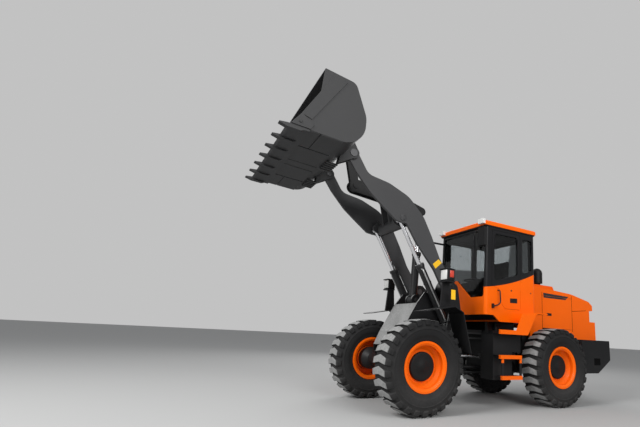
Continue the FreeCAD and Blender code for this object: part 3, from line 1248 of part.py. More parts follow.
def lamp_posts():
    """Folded post on each front fender, with a lamp shelf at its top."""
    foot = fender_top_at(LAMP_POST_X[1])
    back, front = LAMP_POST_TAPER
    side = ((LAMP_POST_X[0], foot), (LAMP_POST_X[1], foot), (LAMP_POST_X[1] - front, LAMP_POST_TOP),
            (LAMP_POST_X[0] + back, LAMP_POST_TOP))
    post = plate_y(side, (LAMP_POST_Y[0], LAMP_POST_Y[0] + LAMP_POST_T))
    shelf = box(HEADLAMP_X, HEADLAMP_Y, (LAMP_POST_TOP - LAMP_SHELF_T, LAMP_POST_TOP))
    return both_sides(fuse([post, shelf]).cut(strip_y(fender_line(), LAMP_POST_CUT_DEPTH, FRONT_FENDER_Y)))


def fender_line():
    """Outer face of a front fender in X and Z, with its bends rounded."""
    return tuple((x, z, FRONT_FENDER_BEND_R) for x, z in FRONT_FENDER_LINE)


def fender_top_at(x):
    """Height of the front fender's sheet at one X, on its sloping top."""
    (x0, z0), (x1, z1) = FRONT_FENDER_LINE[0], FRONT_FENDER_LINE[1]
    return z0 + (z1 - z0) * (x - x0) / (x1 - x0)


def headlamps():
    lamp = box(HEADLAMP_X, HEADLAMP_Y, HEADLAMP_Z)
    depth = HEADLAMP_X[1] - HEADLAMP_X[0]
    lamp = lamp.makeFillet(HEADLAMP_EDGE_R, [e for e in lamp.Edges if e.Length > depth - CUT_PAST])
    return both_sides(lamp)


# Lift arms

def boom_point(along_arm, rise):
    """Point (x, z) at a distance from the arm pivot towards the bucket pivot, and one square to that."""
    way, _ = along(ARM_PIVOT, BUCKET_PIVOT)
    return (ARM_PIVOT[0] + way.x * along_arm - way.z * rise, ARM_PIVOT[1] + way.z * along_arm + way.x * rise)


def boom_rise(point):
    """Distance of a point (x, z) above the line from the arm pivot to the bucket pivot."""
    way, _ = along(ARM_PIVOT, BUCKET_PIVOT)
    return way.x * (point[1] - ARM_PIVOT[1]) - way.z * (point[0] - ARM_PIVOT[0])


def boom():
    """Two curved plate arms, the cross tube, the bell crank's bracket and the cylinder lugs."""
    ax, az = ARM_PIVOT
    px, pz = BUCKET_PIVOT
    tx, tz = CROSS_TUBE
    cx, cz = LIFT_ROD_PIN
    qx, qz = CRANK_PIVOT
    arm = fuse([plate_y(ARM_OUTLINE, ARM_Y), rod_y(ax, az, ARM_PIVOT_BOSS_R, *ARM_Y),
                rod_y(px, pz, BUCKET_PIN_BOSS_R, *ARM_Y), rod_y(cx, cz, LIFT_LUG_R, *ARM_Y)])
    lug = fuse([bar_plate(CROSS_TUBE, LIFT_ROD_PIN, CROSS_TUBE_R, LIFT_LUG_R, LIFT_LUG_Y),
                rod_y(cx, cz, LIFT_LUG_R, *LIFT_LUG_Y)])
    bracket = fuse([bar_plate(CROSS_TUBE, CRANK_PIVOT, CROSS_TUBE_R, CRANK_HUB_R, CRANK_BRACKET_Y),
                    rod_y(qx, qz, CRANK_HUB_R, *CRANK_BRACKET_Y)])
    shelf_low = boom_rise(LIFT_ROD_PIN) + LIFT_LUG_R
    shelf = plate_y([boom_point(a, h) for a, h in ((ROD_SHELF[0], shelf_low), (ROD_SHELF[1], shelf_low),
                    (ROD_SHELF[1], shelf_low + ROD_SHELF_T), (ROD_SHELF[0], shelf_low + ROD_SHELF_T))],
                    (LIFT_LUG_Y[0], ARM_Y[0]))
    pieces = [rod_y(tx, tz, CROSS_TUBE_R, -LIFT_LUG_Y[1], LIFT_LUG_Y[1])]
    for piece in (arm, lug, bracket, shelf):
        pieces += both_sides(piece).Solids
    whole = fuse(pieces)
    holes = [rod_y(qx, qz, CRANK_PIN_R + SEAT, -CUT_THROUGH, CUT_THROUGH)]
    for sign in (-1, 1):
        through = (sign * (ARM_Y[0] - CUT_PAST), sign * (ARM_Y[1] + CUT_PAST))
        holes.append(rod_y(ax, az, ARM_PIVOT_PIN_R + SEAT, *through))
        holes.append(rod_y(px, pz, BUCKET_PIN_R + SEAT, *through))
    return whole.cut(Part.makeCompound(holes))


def bucket_pins():
    outer = BUCKET_EAR_Y[1][1] + SEAT
    pin = fuse([rod_y(*BUCKET_PIVOT, BUCKET_PIN_R, BUCKET_EAR_Y[0][0] - PIN_HEAD_T, outer),
                rod_y(*BUCKET_PIVOT, BUCKET_PIN_R + PIN_HEAD_OVER, outer, outer + PIN_HEAD_T)])
    return both_sides(pin)


def headed_pin(centre, radius, outer):
    """Heavy pin along Y between two plates' outer faces, with a head at each end."""
    pieces = [rod_y(*centre, radius, -outer, outer)]
    for sign in (-1, 1):
        pieces.append(rod_y(*centre, radius + PIN_HEAD_OVER, sign * outer, sign * (outer + PIN_HEAVY_HEAD_T)))
    return fuse(pieces)


def crank_pin():
    return headed_pin(CRANK_PIVOT, CRANK_PIN_R, CRANK_BRACKET_Y[1] + SEAT)


def link_pin():
    return headed_pin(LINK_BUCKET_PIN, LINK_PIN_R, CRANK_PLATE_Y[1] + SEAT)


def bell_crank():
    """Two rocker plates on one hub, forked at both ends."""
    pieces = [rod_y(*CRANK_PIVOT, CRANK_HUB_R, -CRANK_HUB_HALF_Y, CRANK_HUB_HALF_Y)]
    for end, radius in ((CRANK_LOW, CRANK_LOW_R), (CRANK_HIGH, CRANK_HIGH_R)):
        plate = fuse([bar_plate(CRANK_PIVOT, end, CRANK_WAIST / 2, radius, CRANK_PLATE_Y),
                      rod_y(*end, radius, *CRANK_PLATE_Y)])
        cap = rod_y(*end, CRANK_CAP_R, CRANK_PLATE_Y[1], CRANK_PLATE_Y[1] + CRANK_CAP_T)
        pieces += both_sides(plate).Solids + both_sides(cap).Solids
    crank = fuse(pieces)
    return crank.cut(rod_y(*CRANK_PIVOT, CRANK_PIN_R + SEAT, -CUT_THROUGH, CUT_THROUGH))


def tilt_link():
    y = (-LINK_HALF_Y, LINK_HALF_Y)
    link = fuse([bar_plate(LINK_BUCKET_PIN, CRANK_LOW, LINK_WIDTH / 2, LINK_WIDTH / 2, y),
                 rod_y(*LINK_BUCKET_PIN, LINK_EYE_R, *y), rod_y(*CRANK_LOW, LINK_EYE_R, *y)])
    holes = [rod_y(*LINK_BUCKET_PIN, LINK_PIN_R + SEAT, -CUT_THROUGH, CUT_THROUGH),
             rod_y(*CRANK_LOW, TILT_PIN_R + SEAT, -CUT_THROUGH, CUT_THROUGH)]
    return link.cut(Part.makeCompound(holes))


def cylinder_barrel(base, way, length, radius, bore, eye_r, half_width, eye_axis, pin_r):
    """Barrel from its base eye, bored for its rod."""
    neck, collar = eye_r * NECK_SHARE, radius * GLAND_SHARE
    tube = Part.makeCylinder(radius, length - neck, base + way * neck, way)
    gland = Part.makeCylinder(radius * GLAND_SWELL, collar, base + way * (length - collar), way)
    eye = Part.makeCylinder(eye_r, 2 * half_width, base - eye_axis * half_width, eye_axis)
    room = Part.makeCylinder(bore, length, base + way * (eye_r + BORE_END_T), way)
    reach = half_width + CUT_PAST
    pin = Part.makeCylinder(pin_r + SEAT, 2 * reach, base - eye_axis * reach, eye_axis)
    return fuse([tube, gland, eye]).cut(Part.makeCompound([room, pin]))


def cylinder_rod(tip, way, length, radius, eye_r, half_width, eye_axis, pin_r):
    """Rod that ends in an eye at its tip."""
    shaft = Part.makeCylinder(radius, length, tip - way * length, way)
    eye = Part.makeCylinder(eye_r, 2 * half_width, tip - eye_axis * half_width, eye_axis)
    reach = half_width + CUT_PAST
    pin = Part.makeCylinder(pin_r + SEAT, 2 * reach, tip - eye_axis * reach, eye_axis)
    return fuse([shaft, eye]).cut(pin)


def lift_cylinder(side):
    way, _ = along(LIFT_BASE, LIFT_ROD_PIN)
    base = V(LIFT_BASE[0], side * LIFT_Y, LIFT_BASE[1])
    tip = V(LIFT_ROD_PIN[0], side * LIFT_Y, LIFT_ROD_PIN[1])
    barrel = cylinder_barrel(base, way, LIFT_BARREL_LENGTH, LIFT_BARREL_R, LIFT_ROD_R + SEAT, LIFT_EYE_R,
                             LIFT_BASE_EYE_HALF_Y, V(0, 1, 0), LIFT_PIN_R)
    rod = cylinder_rod(tip, way, LIFT_ROD_LENGTH, LIFT_ROD_R, LIFT_EYE_R, LIFT_EYE_HALF_Y, V(0, 1, 0),
                       LIFT_PIN_R)
    return barrel, rod


def tilt_cylinder():
    way, _ = along(TILT_BASE, CRANK_HIGH)
    base = V(TILT_BASE[0], 0, TILT_BASE[1])
    tip = V(CRANK_HIGH[0], 0, CRANK_HIGH[1])
    barrel = cylinder_barrel(base, way, TILT_BARREL_LENGTH, TILT_BARREL_R, TILT_ROD_R + SEAT, TILT_EYE_R,
                             TILT_BASE_EYE_HALF_Y, V(0, 1, 0), TILT_PIN_R)
    rod = cylinder_rod(tip, way, TILT_ROD_LENGTH, TILT_ROD_R, TILT_EYE_R, TILT_EYE_HALF_Y, V(0, 1, 0),
                       TILT_PIN_R)
    return barrel, rod


def steer_cylinder(side):
    base = V(STEER_BASE[0], side * STEER_BASE[1], STEER_Z)
    tip = V(STEER_ROD_PIN[0], side * STEER_ROD_PIN[1], STEER_Z)
    way = (tip - base).normalize()
    barrel = cylinder_barrel(base, way, STEER_BARREL_LENGTH, STEER_BARREL_R, STEER_ROD_R + SEAT, STEER_EYE_R,
                             STEER_BASE_EYE_HALF_Z, V(0, 0, 1), STEER_PIN_R)
    rod = cylinder_rod(tip, way, STEER_ROD_LENGTH, STEER_ROD_R, STEER_EYE_R, STEER_EYE_HALF_Z, V(0, 0, 1),
                       STEER_PIN_R)
    return barrel, rod


# Bucket

def bucket_outer():
    """Solid inside the bucket's outer face, over its whole width."""
    front = tuple(BUCKET_SIDE_FRONT)
    return plate_y(BUCKET_LINE + front, (-BUCKET_HALF_Y, BUCKET_HALF_Y))


def bucket():
    """Rolled shell between two side plates, with ears for the arms and for the tilt link."""
    shell = strip_y(BUCKET_LINE, -BUCKET_WALL, (-BUCKET_HALF_Y, BUCKET_HALF_Y))
    side = plate_y(BUCKET_LINE + tuple(BUCKET_SIDE_FRONT), (BUCKET_HALF_Y - BUCKET_WALL, BUCKET_HALF_Y))
    outer = bucket_outer()
    px, pz = BUCKET_PIVOT
    ears = []
    for y in BUCKET_EAR_Y:
        round_pin = tuple((px + dx, pz + dz) for dx, dz in (BUCKET_EAR_SHOULDER, BUCKET_EAR_HEEL))
        ear = fuse([plate_y(BUCKET_EAR_FOOT + round_pin, y), rod_y(px, pz, BUCKET_PIN_BOSS_R, *y)])
        ears.append(ear)
    gx, gz = LINK_BUCKET_PIN
    round_pin = ((gx, gz + LINK_EAR_R), (gx - LINK_EAR_HEEL, gz - LINK_EAR_R + LINK_EAR_HEEL / 2))
    ears.append(fuse([plate_y(LINK_EAR_FOOT + round_pin, CRANK_PLATE_Y),
                      rod_y(gx, gz, LINK_EAR_R, *CRANK_PLATE_Y)]))
    pieces = [shell] + both_sides(side).Solids
    for ear in ears:
        pieces += both_sides(ear.cut(outer)).Solids
    whole = fuse(pieces)
    holes = [rod_y(gx, gz, LINK_PIN_R + SEAT, -CUT_THROUGH, CUT_THROUGH)]
    for sign in (-1, 1):
        low, high = BUCKET_EAR_Y[0][0] - CUT_PAST, BUCKET_EAR_Y[1][1] + CUT_PAST
        holes.append(rod_y(*BUCKET_PIVOT, BUCKET_PIN_R + SEAT, sign * low, sign * high))
    return whole.cut(Part.makeCompound(holes))


def floor_direction():
    """Unit direction of the bucket's floor, towards its edge."""
    (x0, z0, _), (x1, z1, _) = BUCKET_LINE[1], BUCKET_LINE[0]
    length = math.hypot(x1 - x0, z1 - z0)
    return V((x1 - x0) / length, 0, (z1 - z0) / length)


def bucket_teeth():
    """Cutting edge under the lip, with the teeth fused to it."""
    way = floor_direction()
    up = V(-way.z, 0, way.x)
    tip = V(BUCKET_LINE[0][0], 0, BUCKET_LINE[0][1])

    def spot(forward, lift):
        point = tip + way * forward + up * lift
        return (point.x, point.z)

    edge = plate_y((spot(EDGE_NOSE, 0), spot(0, -EDGE_T), spot(-EDGE_DEPTH, -EDGE_T), spot(-EDGE_DEPTH, 0)),
                   (-BUCKET_HALF_Y, BUCKET_HALF_Y))
    low = -EDGE_T - TOOTH_T / 2
    outline = (spot(TOOTH_REACH, low / 2), spot(EDGE_NOSE, low), spot(-TOOTH_BACK, low),
               spot(-TOOTH_BACK - TOOTH_T, -EDGE_T), spot(0, -EDGE_T), spot(EDGE_NOSE, 0),
               spot(TOOTH_REACH, low / 2 + TOOTH_TIP_T))
    pieces = [edge]
    pitch = 2 * (BUCKET_HALF_Y - TOOTH_HALF_Y) / (TOOTH_COUNT - 1)
    for i in range(TOOTH_COUNT):
        y = TOOTH_HALF_Y - BUCKET_HALF_Y + pitch * i
        pieces.append(plate_y(outline, (y - TOOTH_HALF_Y, y + TOOTH_HALF_Y)))
    return fuse(pieces)


def all_pieces():
    """Node name and shape of every piece."""
    pieces = {
        "rear_frame": rear_frame(),
        "steer_pins": steer_pins(),
        "engine_block": engine_block(),
        "counterweight": counterweight(),
        "bonnet": bonnet(),
        "engine_door_left": engine_door(1),
        "engine_door_right": engine_door(-1),
        "rear_grille": rear_grille(),
        "tail_lamps": tail_lamps(),
        "exhaust": exhaust(),
        "side_tanks": side_tanks(),
        "steps": steps(),
        "rear_fenders": rear_fenders(),
        "cab_shell": cab_shell(),
        "cab_glass": cab_glass(),
        "cab_roof": cab_roof(),
        "cab_door": cab_door(),
        "door_glass": door_glass(),
        "seat_base": seat_base(),
        "seat_cushions": seat_cushions(),
        "steering_column": steering_column(),
        "console": console(),
        "mirrors": mirrors(),
        "roof_lamps": roof_lamps(),
        "rear_axle": rear_axle(),
        "front_frame": front_frame(),
        "frame_pins": frame_pins(),
        "front_axle": front_axle(),
        "front_fenders": front_fenders(),
        "lamp_posts": lamp_posts(),
        "headlamps": headlamps(),
        "boom": boom(),
        "bucket_pins": bucket_pins(),
        "bucket": bucket(),
        "bucket_teeth": bucket_teeth(),
        "crank_pin": crank_pin(),
        "bell_crank": bell_crank(),
        "link_pin": link_pin(),
        "tilt_link": tilt_link(),
    }
    pieces["tilt_barrel"], pieces["tilt_rod"] = tilt_cylinder()
    for name, side in (("left", 1), ("right", -1)):
        pieces["lift_barrel_" + name], pieces["lift_rod_" + name] = lift_cylinder(side)
        pieces["steer_barrel_" + name], pieces["steer_rod_" + name] = steer_cylinder(side)
    for name, x, side in wheel_places():
        pieces["tyre_" + name] = placed_on_wheel(tyre(), x, side)
        pieces["rim_" + name] = placed_on_wheel(rim(), x, side)
    return pieces


def middle_x(pieces):
    """X halfway along the whole machine."""
    boxes = [shape.optimalBoundingBox(False) for shape in pieces.values()]
    return (min(b.XMin for b in boxes) + max(b.XMax for b in boxes)) / 2


pieces = all_pieces()
shift = middle_x(pieces)
os.makedirs("parts", exist_ok=True)
for name, shape in pieces.items():
    shape.translate(V(-shift, 0, 0))
    shape.exportStep("parts/" + name + ".step")
print("origin is %.1f mm ahead of the articulation pivot" % shift)
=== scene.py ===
import bmesh
import bpy
import json
import math
from mathutils import Matrix, Vector


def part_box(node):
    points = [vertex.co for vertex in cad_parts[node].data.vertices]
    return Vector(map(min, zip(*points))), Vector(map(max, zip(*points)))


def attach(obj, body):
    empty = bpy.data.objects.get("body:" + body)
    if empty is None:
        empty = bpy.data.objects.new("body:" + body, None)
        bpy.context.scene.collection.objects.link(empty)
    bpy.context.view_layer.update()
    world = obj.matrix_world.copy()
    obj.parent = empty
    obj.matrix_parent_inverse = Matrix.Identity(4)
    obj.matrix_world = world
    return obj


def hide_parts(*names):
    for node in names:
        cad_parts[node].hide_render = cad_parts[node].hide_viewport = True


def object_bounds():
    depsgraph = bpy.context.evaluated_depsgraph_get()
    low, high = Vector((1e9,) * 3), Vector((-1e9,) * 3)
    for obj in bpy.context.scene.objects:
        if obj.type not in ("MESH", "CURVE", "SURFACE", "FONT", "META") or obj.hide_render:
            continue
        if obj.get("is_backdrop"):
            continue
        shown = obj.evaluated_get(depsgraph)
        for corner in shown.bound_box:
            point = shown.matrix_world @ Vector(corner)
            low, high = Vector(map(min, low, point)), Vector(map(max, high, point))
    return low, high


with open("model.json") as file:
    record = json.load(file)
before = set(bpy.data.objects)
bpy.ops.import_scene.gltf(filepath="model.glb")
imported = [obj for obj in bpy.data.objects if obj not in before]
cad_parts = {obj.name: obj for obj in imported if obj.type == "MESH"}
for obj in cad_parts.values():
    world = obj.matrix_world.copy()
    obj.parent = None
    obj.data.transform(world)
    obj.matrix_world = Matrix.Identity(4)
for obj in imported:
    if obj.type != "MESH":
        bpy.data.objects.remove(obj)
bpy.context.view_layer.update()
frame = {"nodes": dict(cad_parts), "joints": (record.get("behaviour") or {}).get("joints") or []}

# Viewpoint
# The loader is seen from low down ahead of its left side, as by someone standing beyond the
# bucket. Places are given in metres from the vertical pivot between the two frames, and at()
# moves them into the frame.

pivot_x = next(j["pos_m"][0] for j in frame["joints"] if j["name"] == "steering")


def at(x, y, z):
    return Vector((x + pivot_x, y, z))


def nothing_selected():
    if bpy.context.object and bpy.context.object.mode != "OBJECT":
        bpy.ops.object.mode_set(mode="OBJECT")
    bpy.ops.object.select_all(action="DESELECT")


nothing_selected()
eye = at(4.8026, 6.4014, 1.1137)
yaw, pitch, roll = math.radians(-122.347), math.radians(15.360), math.radians(2.881)
ahead = Vector((math.cos(pitch) * math.cos(yaw), math.cos(pitch) * math.sin(yaw), math.sin(pitch)))
level = Vector((math.sin(yaw), -math.cos(yaw), 0))
upright = level.cross(ahead)
across = math.cos(roll) * level + math.sin(roll) * upright
above = math.cos(roll) * upright - math.sin(roll) * level
bpy.ops.object.camera_add(location=eye)
camera = bpy.context.object
camera.name = "viewpoint"
camera.rotation_mode = "QUATERNION"
camera.rotation_quaternion = Matrix((across, above, -ahead)).transposed().to_quaternion()
camera.data.sensor_width = 36.0
camera.data.lens = 23.21
camera.data.shift_x = -0.1772
camera.data.shift_y = 0.0137
camera.data.clip_end = 400.0
bpy.context.scene.camera = camera

# Studio
# A pale level floor, an even pale surround and three large soft lamps, so that every colour
# shows about as it is painted.

bpy.context.scene.view_settings.view_transform = "Standard"
floor_width = 240.0
nothing_selected()
bpy.ops.mesh.primitive_plane_add(size=floor_width, location=(0, 0, 0))
floor = bpy.context.object
floor.name = "studio_floor"
floor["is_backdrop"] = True
floor_paint = bpy.data.materials.new("studio_floor")
floor_paint.use_nodes = True
shader = floor_paint.node_tree.nodes["Principled BSDF"]
shader.inputs["Base Color"].default_value = (0.40, 0.40, 0.395, 1)
shader.inputs["Roughness"].default_value = 0.9
floor.data.materials.append(floor_paint)


def soft_lamp(name, place, towards, size, watts):
    nothing_selected()
    bpy.ops.object.light_add(type="AREA", location=place)
    lamp = bpy.context.object
    lamp.name = name
    lamp.data.size = size
    lamp.data.energy = watts
    lamp.rotation_mode = "QUATERNION"
    lamp.rotation_quaternion = (Vector(towards) - Vector(place)).to_track_quat("-Z", "Y")


soft_lamp("key_lamp", (12.0, 3.0, 9.0), towards=(0.5, 0.0, 1.6), size=6.0, watts=1700)
soft_lamp("side_lamp", (1.0, 12.0, 7.5), towards=(-0.5, 0.0, 1.4), size=7.0, watts=1000)
soft_lamp("back_lamp", (-6.0, -10.0, 8.0), towards=(0.0, 0.0, 1.8), size=8.0, watts=500)

surround = bpy.data.worlds.new("pale_surround")
bpy.context.scene.world = surround
surround.use_nodes = True
tree = surround.node_tree
tree.nodes.clear()
sky_light = tree.nodes.new("ShaderNodeBackground")
sky_light.inputs["Color"].default_value = (0.95, 0.97, 1.0, 1)
sky_light.inputs["Strength"].default_value = 0.42
shown = tree.nodes.new("ShaderNodeBackground")
shown.inputs["Color"].default_value = (0.54, 0.54, 0.54, 1)
rays = tree.nodes.new("ShaderNodeLightPath")
seen = rays.outputs["Is Camera Ray"]
for kind in ("Is Glossy Ray", "Is Transmission Ray"):
    either = tree.nodes.new("ShaderNodeMath")
    either.operation = "MAXIMUM"
    tree.links.new(seen, either.inputs[0])
    tree.links.new(rays.outputs[kind], either.inputs[1])
    seen = either.outputs[0]
mixed = tree.nodes.new("ShaderNodeMixShader")
tree.links.new(seen, mixed.inputs["Fac"])
tree.links.new(sky_light.outputs[0], mixed.inputs[1])
tree.links.new(shown.outputs[0], mixed.inputs[2])
out = tree.nodes.new("ShaderNodeOutputWorld")
tree.links.new(mixed.outputs[0], out.inputs["Surface"])

# Paint and dust
# Every painted, moulded or cast surface is a coat that is a little uneven, and carries pale
# quarry dust low down and on what faces up; on the front frame's coat the pale on upward faces is
# also a painted sky highlight. All finishes below are made with this coat.


def reckon(tree, operation, *values):
    """Math node of one operation on numbers or sockets."""
    node = tree.nodes.new("ShaderNodeMath")
    node.operation = operation
    for socket, value in zip(node.inputs, values):
        if isinstance(value, (int, float)):
            socket.default_value = value
        else:
            tree.links.new(value, socket)
    return node.outputs[0]


def noise(tree, place, scale, detail, roughness=0.5):
    node = tree.nodes.new("ShaderNodeTexNoise")
    node.inputs["Scale"].default_value = scale
    node.inputs["Detail"].default_value = detail
    node.inputs["Roughness"].default_value = roughness
    tree.links.new(place, node.inputs["Vector"])
    return node.outputs["Fac"]


def blended(tree, share, first, second):
    """Colour between two colours or sockets."""
    node = tree.nodes.new("ShaderNodeMix")
    node.data_type = "RGBA"
    tree.links.new(share, node.inputs["Factor"])
    for socket, value in ((node.inputs[6], first), (node.inputs[7], second)):
        if isinstance(value, tuple):
            socket.default_value = value
        else:
            tree.links.new(value, socket)
    return node.outputs[2]


def place_of(tree):
    """Object coordinates and their three parts."""
    where = tree.nodes.new("ShaderNodeTexCoord").outputs["Object"]
    split = tree.nodes.new("ShaderNodeSeparateXYZ")
    tree.links.new(where, split.inputs[0])
    return where, split.outputs


dusty = bpy.data.node_groups.new("dusty_coat", "ShaderNodeTree")
for label, kind, value in (
        ("Colour", "NodeSocketColor", (0.5, 0.5, 0.5, 1)),
        ("Dust Colour", "NodeSocketColor", (0.17, 0.165, 0.16, 1)),
        ("Dust", "NodeSocketFloat", 0.3),
        ("Dust Height", "NodeSocketFloat", 1.5),
        ("Gloss", "NodeSocketFloat", 0.35)):
    dusty.interface.new_socket(label, in_out="INPUT", socket_type=kind).default_value = value
for label, kind in (("Colour", "NodeSocketColor"), ("Roughness", "NodeSocketFloat"),
                    ("Height", "NodeSocketFloat")):
    dusty.interface.new_socket(label, in_out="OUTPUT", socket_type=kind)
given = dusty.nodes.new("NodeGroupInput")
made = dusty.nodes.new("NodeGroupOutput")
where, parts = place_of(dusty)
clouds = noise(dusty, where, 1.7, 5.0, 0.6)
speckle = noise(dusty, where, 38.0, 4.0, 0.7)
peel = noise(dusty, where, 260.0, 2.0)
low = reckon(dusty, "MAXIMUM", reckon(dusty, "SUBTRACT", 1.0, reckon(
    dusty, "DIVIDE", parts["Z"], given.outputs["Dust Height"])), 0.0)
turned = dusty.nodes.new("ShaderNodeSeparateXYZ")
dusty.links.new(dusty.nodes.new("ShaderNodeNewGeometry").outputs["Normal"], turned.inputs[0])
# Upward faces take more of the pale colour. On most coats this is dust; the front frame's coat
# turns it up into a painted sky highlight.
tops = reckon(dusty, "MULTIPLY", reckon(dusty, "MAXIMUM", turned.outputs["Z"], 0.0), 0.35)
patchy = reckon(dusty, "MULTIPLY", reckon(dusty, "ADD", low, tops),
                reckon(dusty, "MULTIPLY", clouds, 1.6))
grainy = reckon(dusty, "MULTIPLY", patchy, reckon(dusty, "ADD", speckle, 0.35))
share = reckon(dusty, "MINIMUM", reckon(dusty, "MULTIPLY", grainy, given.outputs["Dust"]), 0.85)
tone = dusty.nodes.new("ShaderNodeVectorMath")
tone.operation = "SCALE"
dusty.links.new(given.outputs["Colour"], tone.inputs[0])
dusty.links.new(reckon(dusty, "MULTIPLY_ADD", clouds, 0.14, 0.93), tone.inputs["Scale"])
dusty.links.new(blended(dusty, share, tone.outputs[0], given.outputs["Dust Colour"]),
                made.inputs["Colour"])
dulled = reckon(dusty, "MULTIPLY_ADD", share, 0.5, given.outputs["Gloss"])
dusty.links.new(reckon(dusty, "MULTIPLY_ADD", speckle, 0.06, dulled), made.inputs["Roughness"])
dusty.links.new(reckon(dusty, "MULTIPLY_ADD", share, 0.5, peel), made.inputs["Height"])


def coat(name, colour, gloss, dust=0.3, dust_height=1.5, bump=0.0006, metal=0.0, clear=0.0,
         shine=0.5):
    """A painted, moulded or metal finish under a little dust."""
    material = bpy.data.materials.new(name)
    material.use_nodes = True
    tree = material.node_tree
    shader = tree.nodes["Principled BSDF"]
    age = tree.nodes.new("ShaderNodeGroup")
    age.node_tree = dusty
    age.name = "age"
    age.inputs["Colour"].default_value = (*colour, 1)
    age.inputs["Dust"].default_value = dust
    age.inputs["Dust Height"].default_value = dust_height
    age.inputs["Gloss"].default_value = gloss
    tree.links.new(age.outputs["Colour"], shader.inputs["Base Color"])
    tree.links.new(age.outputs["Roughness"], shader.inputs["Roughness"])
    shader.inputs["Metallic"].default_value = metal
    shader.inputs["Coat Weight"].default_value = clear
    shader.inputs["Specular IOR Level"].default_value = shine
    relief = tree.nodes.new("ShaderNodeBump")
    relief.inputs["Distance"].default_value = bump
    relief.inputs["Strength"].default_value = 0.5
    tree.links.new(age.outputs["Height"], relief.inputs["Height"])
    tree.links.new(relief.outputs["Normal"], shader.inputs["Normal"])
    return material


def masked(material, mask, colour):
    """Shows a second colour on a coat where the mask is 1."""
    tree = material.node_tree
    first = tree.nodes["age"].outputs["Colour"]
    tree.links.new(blended(tree, mask, first, colour),
                   tree.nodes["Principled BSDF"].inputs["Base Color"])
    return material


def paint(material, *names):
    """Gives these CAD nodes one finish."""
    for name in names:
        frame["nodes"][name].data.materials.clear()
        frame["nodes"][name].data.materials.append(material)


# Tyres
# Four radial earthmover tyres with arrow-shaped lugs, their points leading upwards in front.
# Black rubber, with the lugs' faces worn pale and the sidewalls greyed by dust.

wheel_corners = ("front_left", "front_right", "rear_left", "rear_right")
mirror_y = Matrix.Scale(-1, 4, (0, 1, 0))
tyre_radius = (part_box("tyre_front_left")[1].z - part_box("tyre_front_left")[0].z) / 2
lug_count = 26
lug_pitch = 2 * math.pi / lug_count
lug_half_length, lug_taper, lug_draft = 0.058, 0.012, 0.006
lug_lead, lug_sweep = 0.026, 0.052
tread_half, tread_crown, groove_radius = 0.2095, 0.008, 0.625
shoulder_share = 0.80
shoulder_out, shoulder_drop, shoulder_depth = 0.0165, 0.072, 0.030
casing_half = 0.205


def wheel_centre(corner):
    low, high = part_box("rim_" + corner)
    return Vector(((low.x + high.x) / 2, (low.y + high.y) / 2, tyre_radius))


def closed_up(piece, gap=0.0001):
    """Merges doubled points, drops what has no area and turns all faces outwards."""
    bpy.ops.object.mode_set(mode="EDIT")
    bpy.ops.mesh.select_all(action="SELECT")
    bpy.ops.mesh.remove_doubles(threshold=gap)
    bpy.ops.mesh.dissolve_degenerate(threshold=gap)
    bpy.ops.mesh.delete_loose(use_verts=True, use_edges=True, use_faces=False)
    bpy.ops.mesh.select_all(action="SELECT")
    bpy.ops.mesh.normals_make_consistent(inside=False)
    bpy.ops.object.mode_set(mode="OBJECT")
    return piece


def traced(name, corners, fill="NGON"):
    """A flat piece: a circle whose points are carried in turn to these corners."""
    nothing_selected()
    bpy.ops.mesh.primitive_circle_add(vertices=len(corners), radius=1.0, fill_type=fill)
    piece = bpy.context.object
    piece.name = name
    for vertex, corner in zip(piece.data.vertices, corners):
        vertex.co = corner
    return piece


def turned_y(name, section, centre, steps):
    """A closed section of (y outwards, radius) points, spun round a wheel's or pin's axis."""
    ring = [centre + Vector((radius, y, 0)) for y, radius in section]
    piece = traced(name, ring, fill="NOTHING")
    bpy.ops.object.mode_set(mode="EDIT")
    bpy.ops.mesh.select_all(action="SELECT")
    bpy.ops.mesh.spin(steps=steps, angle=2 * math.pi, center=centre, axis=(0, 1, 0))
    bpy.ops.object.mode_set(mode="OBJECT")
    return closed_up(piece)


def eased(piece, width, angle=35):
    """Takes the sharp edges off a piece by a small chamfer."""
    bevel = piece.modifiers.new("eased edges", "BEVEL")
    bevel.width = width
    bevel.segments = 1
    bevel.limit_method = "ANGLE"
    bevel.angle_limit = math.radians(angle)
    bpy.context.view_layer.objects.active = piece
    bpy.ops.object.modifier_apply(modifier=bevel.name)
    return piece


def alone(piece):
    nothing_selected()
    piece.select_set(True)
    bpy.context.view_layer.objects.active = piece


def dressed(piece, material, body, smooth=35):
    """Gives a piece its finish, shades it and lets it move with a body."""
    piece.data.materials.clear()
    piece.data.materials.append(material)
    alone(piece)
    bpy.ops.object.shade_smooth_by_angle(angle=math.radians(smooth))
    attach(piece, body)
    return piece


def copied(piece, name, matrix):
    """A copy of a piece with its own mesh, carried by a matrix."""
    alone(piece)
    bpy.ops.object.duplicate()
    copy = bpy.context.object
    copy.name = name
    copy.data.transform(matrix)
    if matrix.determinant() < 0:
        bpy.ops.object.mode_set(mode="EDIT")
        bpy.ops.mesh.select_all(action="SELECT")
        bpy.ops.mesh.flip_normals()
        bpy.ops.object.mode_set(mode="OBJECT")
    return copy


def joined(name, pieces):
    nothing_selected()
    for piece in pieces:
        piece.select_set(True)
    bpy.context.view_layer.objects.active = pieces[0]
    bpy.ops.object.join()
    pieces[0].name = name
    return pieces[0]


def spun_about(centre, angle):
    """A turn about a level axis through a centre."""
    turn = Matrix.Rotation(-angle, 4, "Y")
    return Matrix.Translation(centre) @ turn @ Matrix.Translation(-centre)


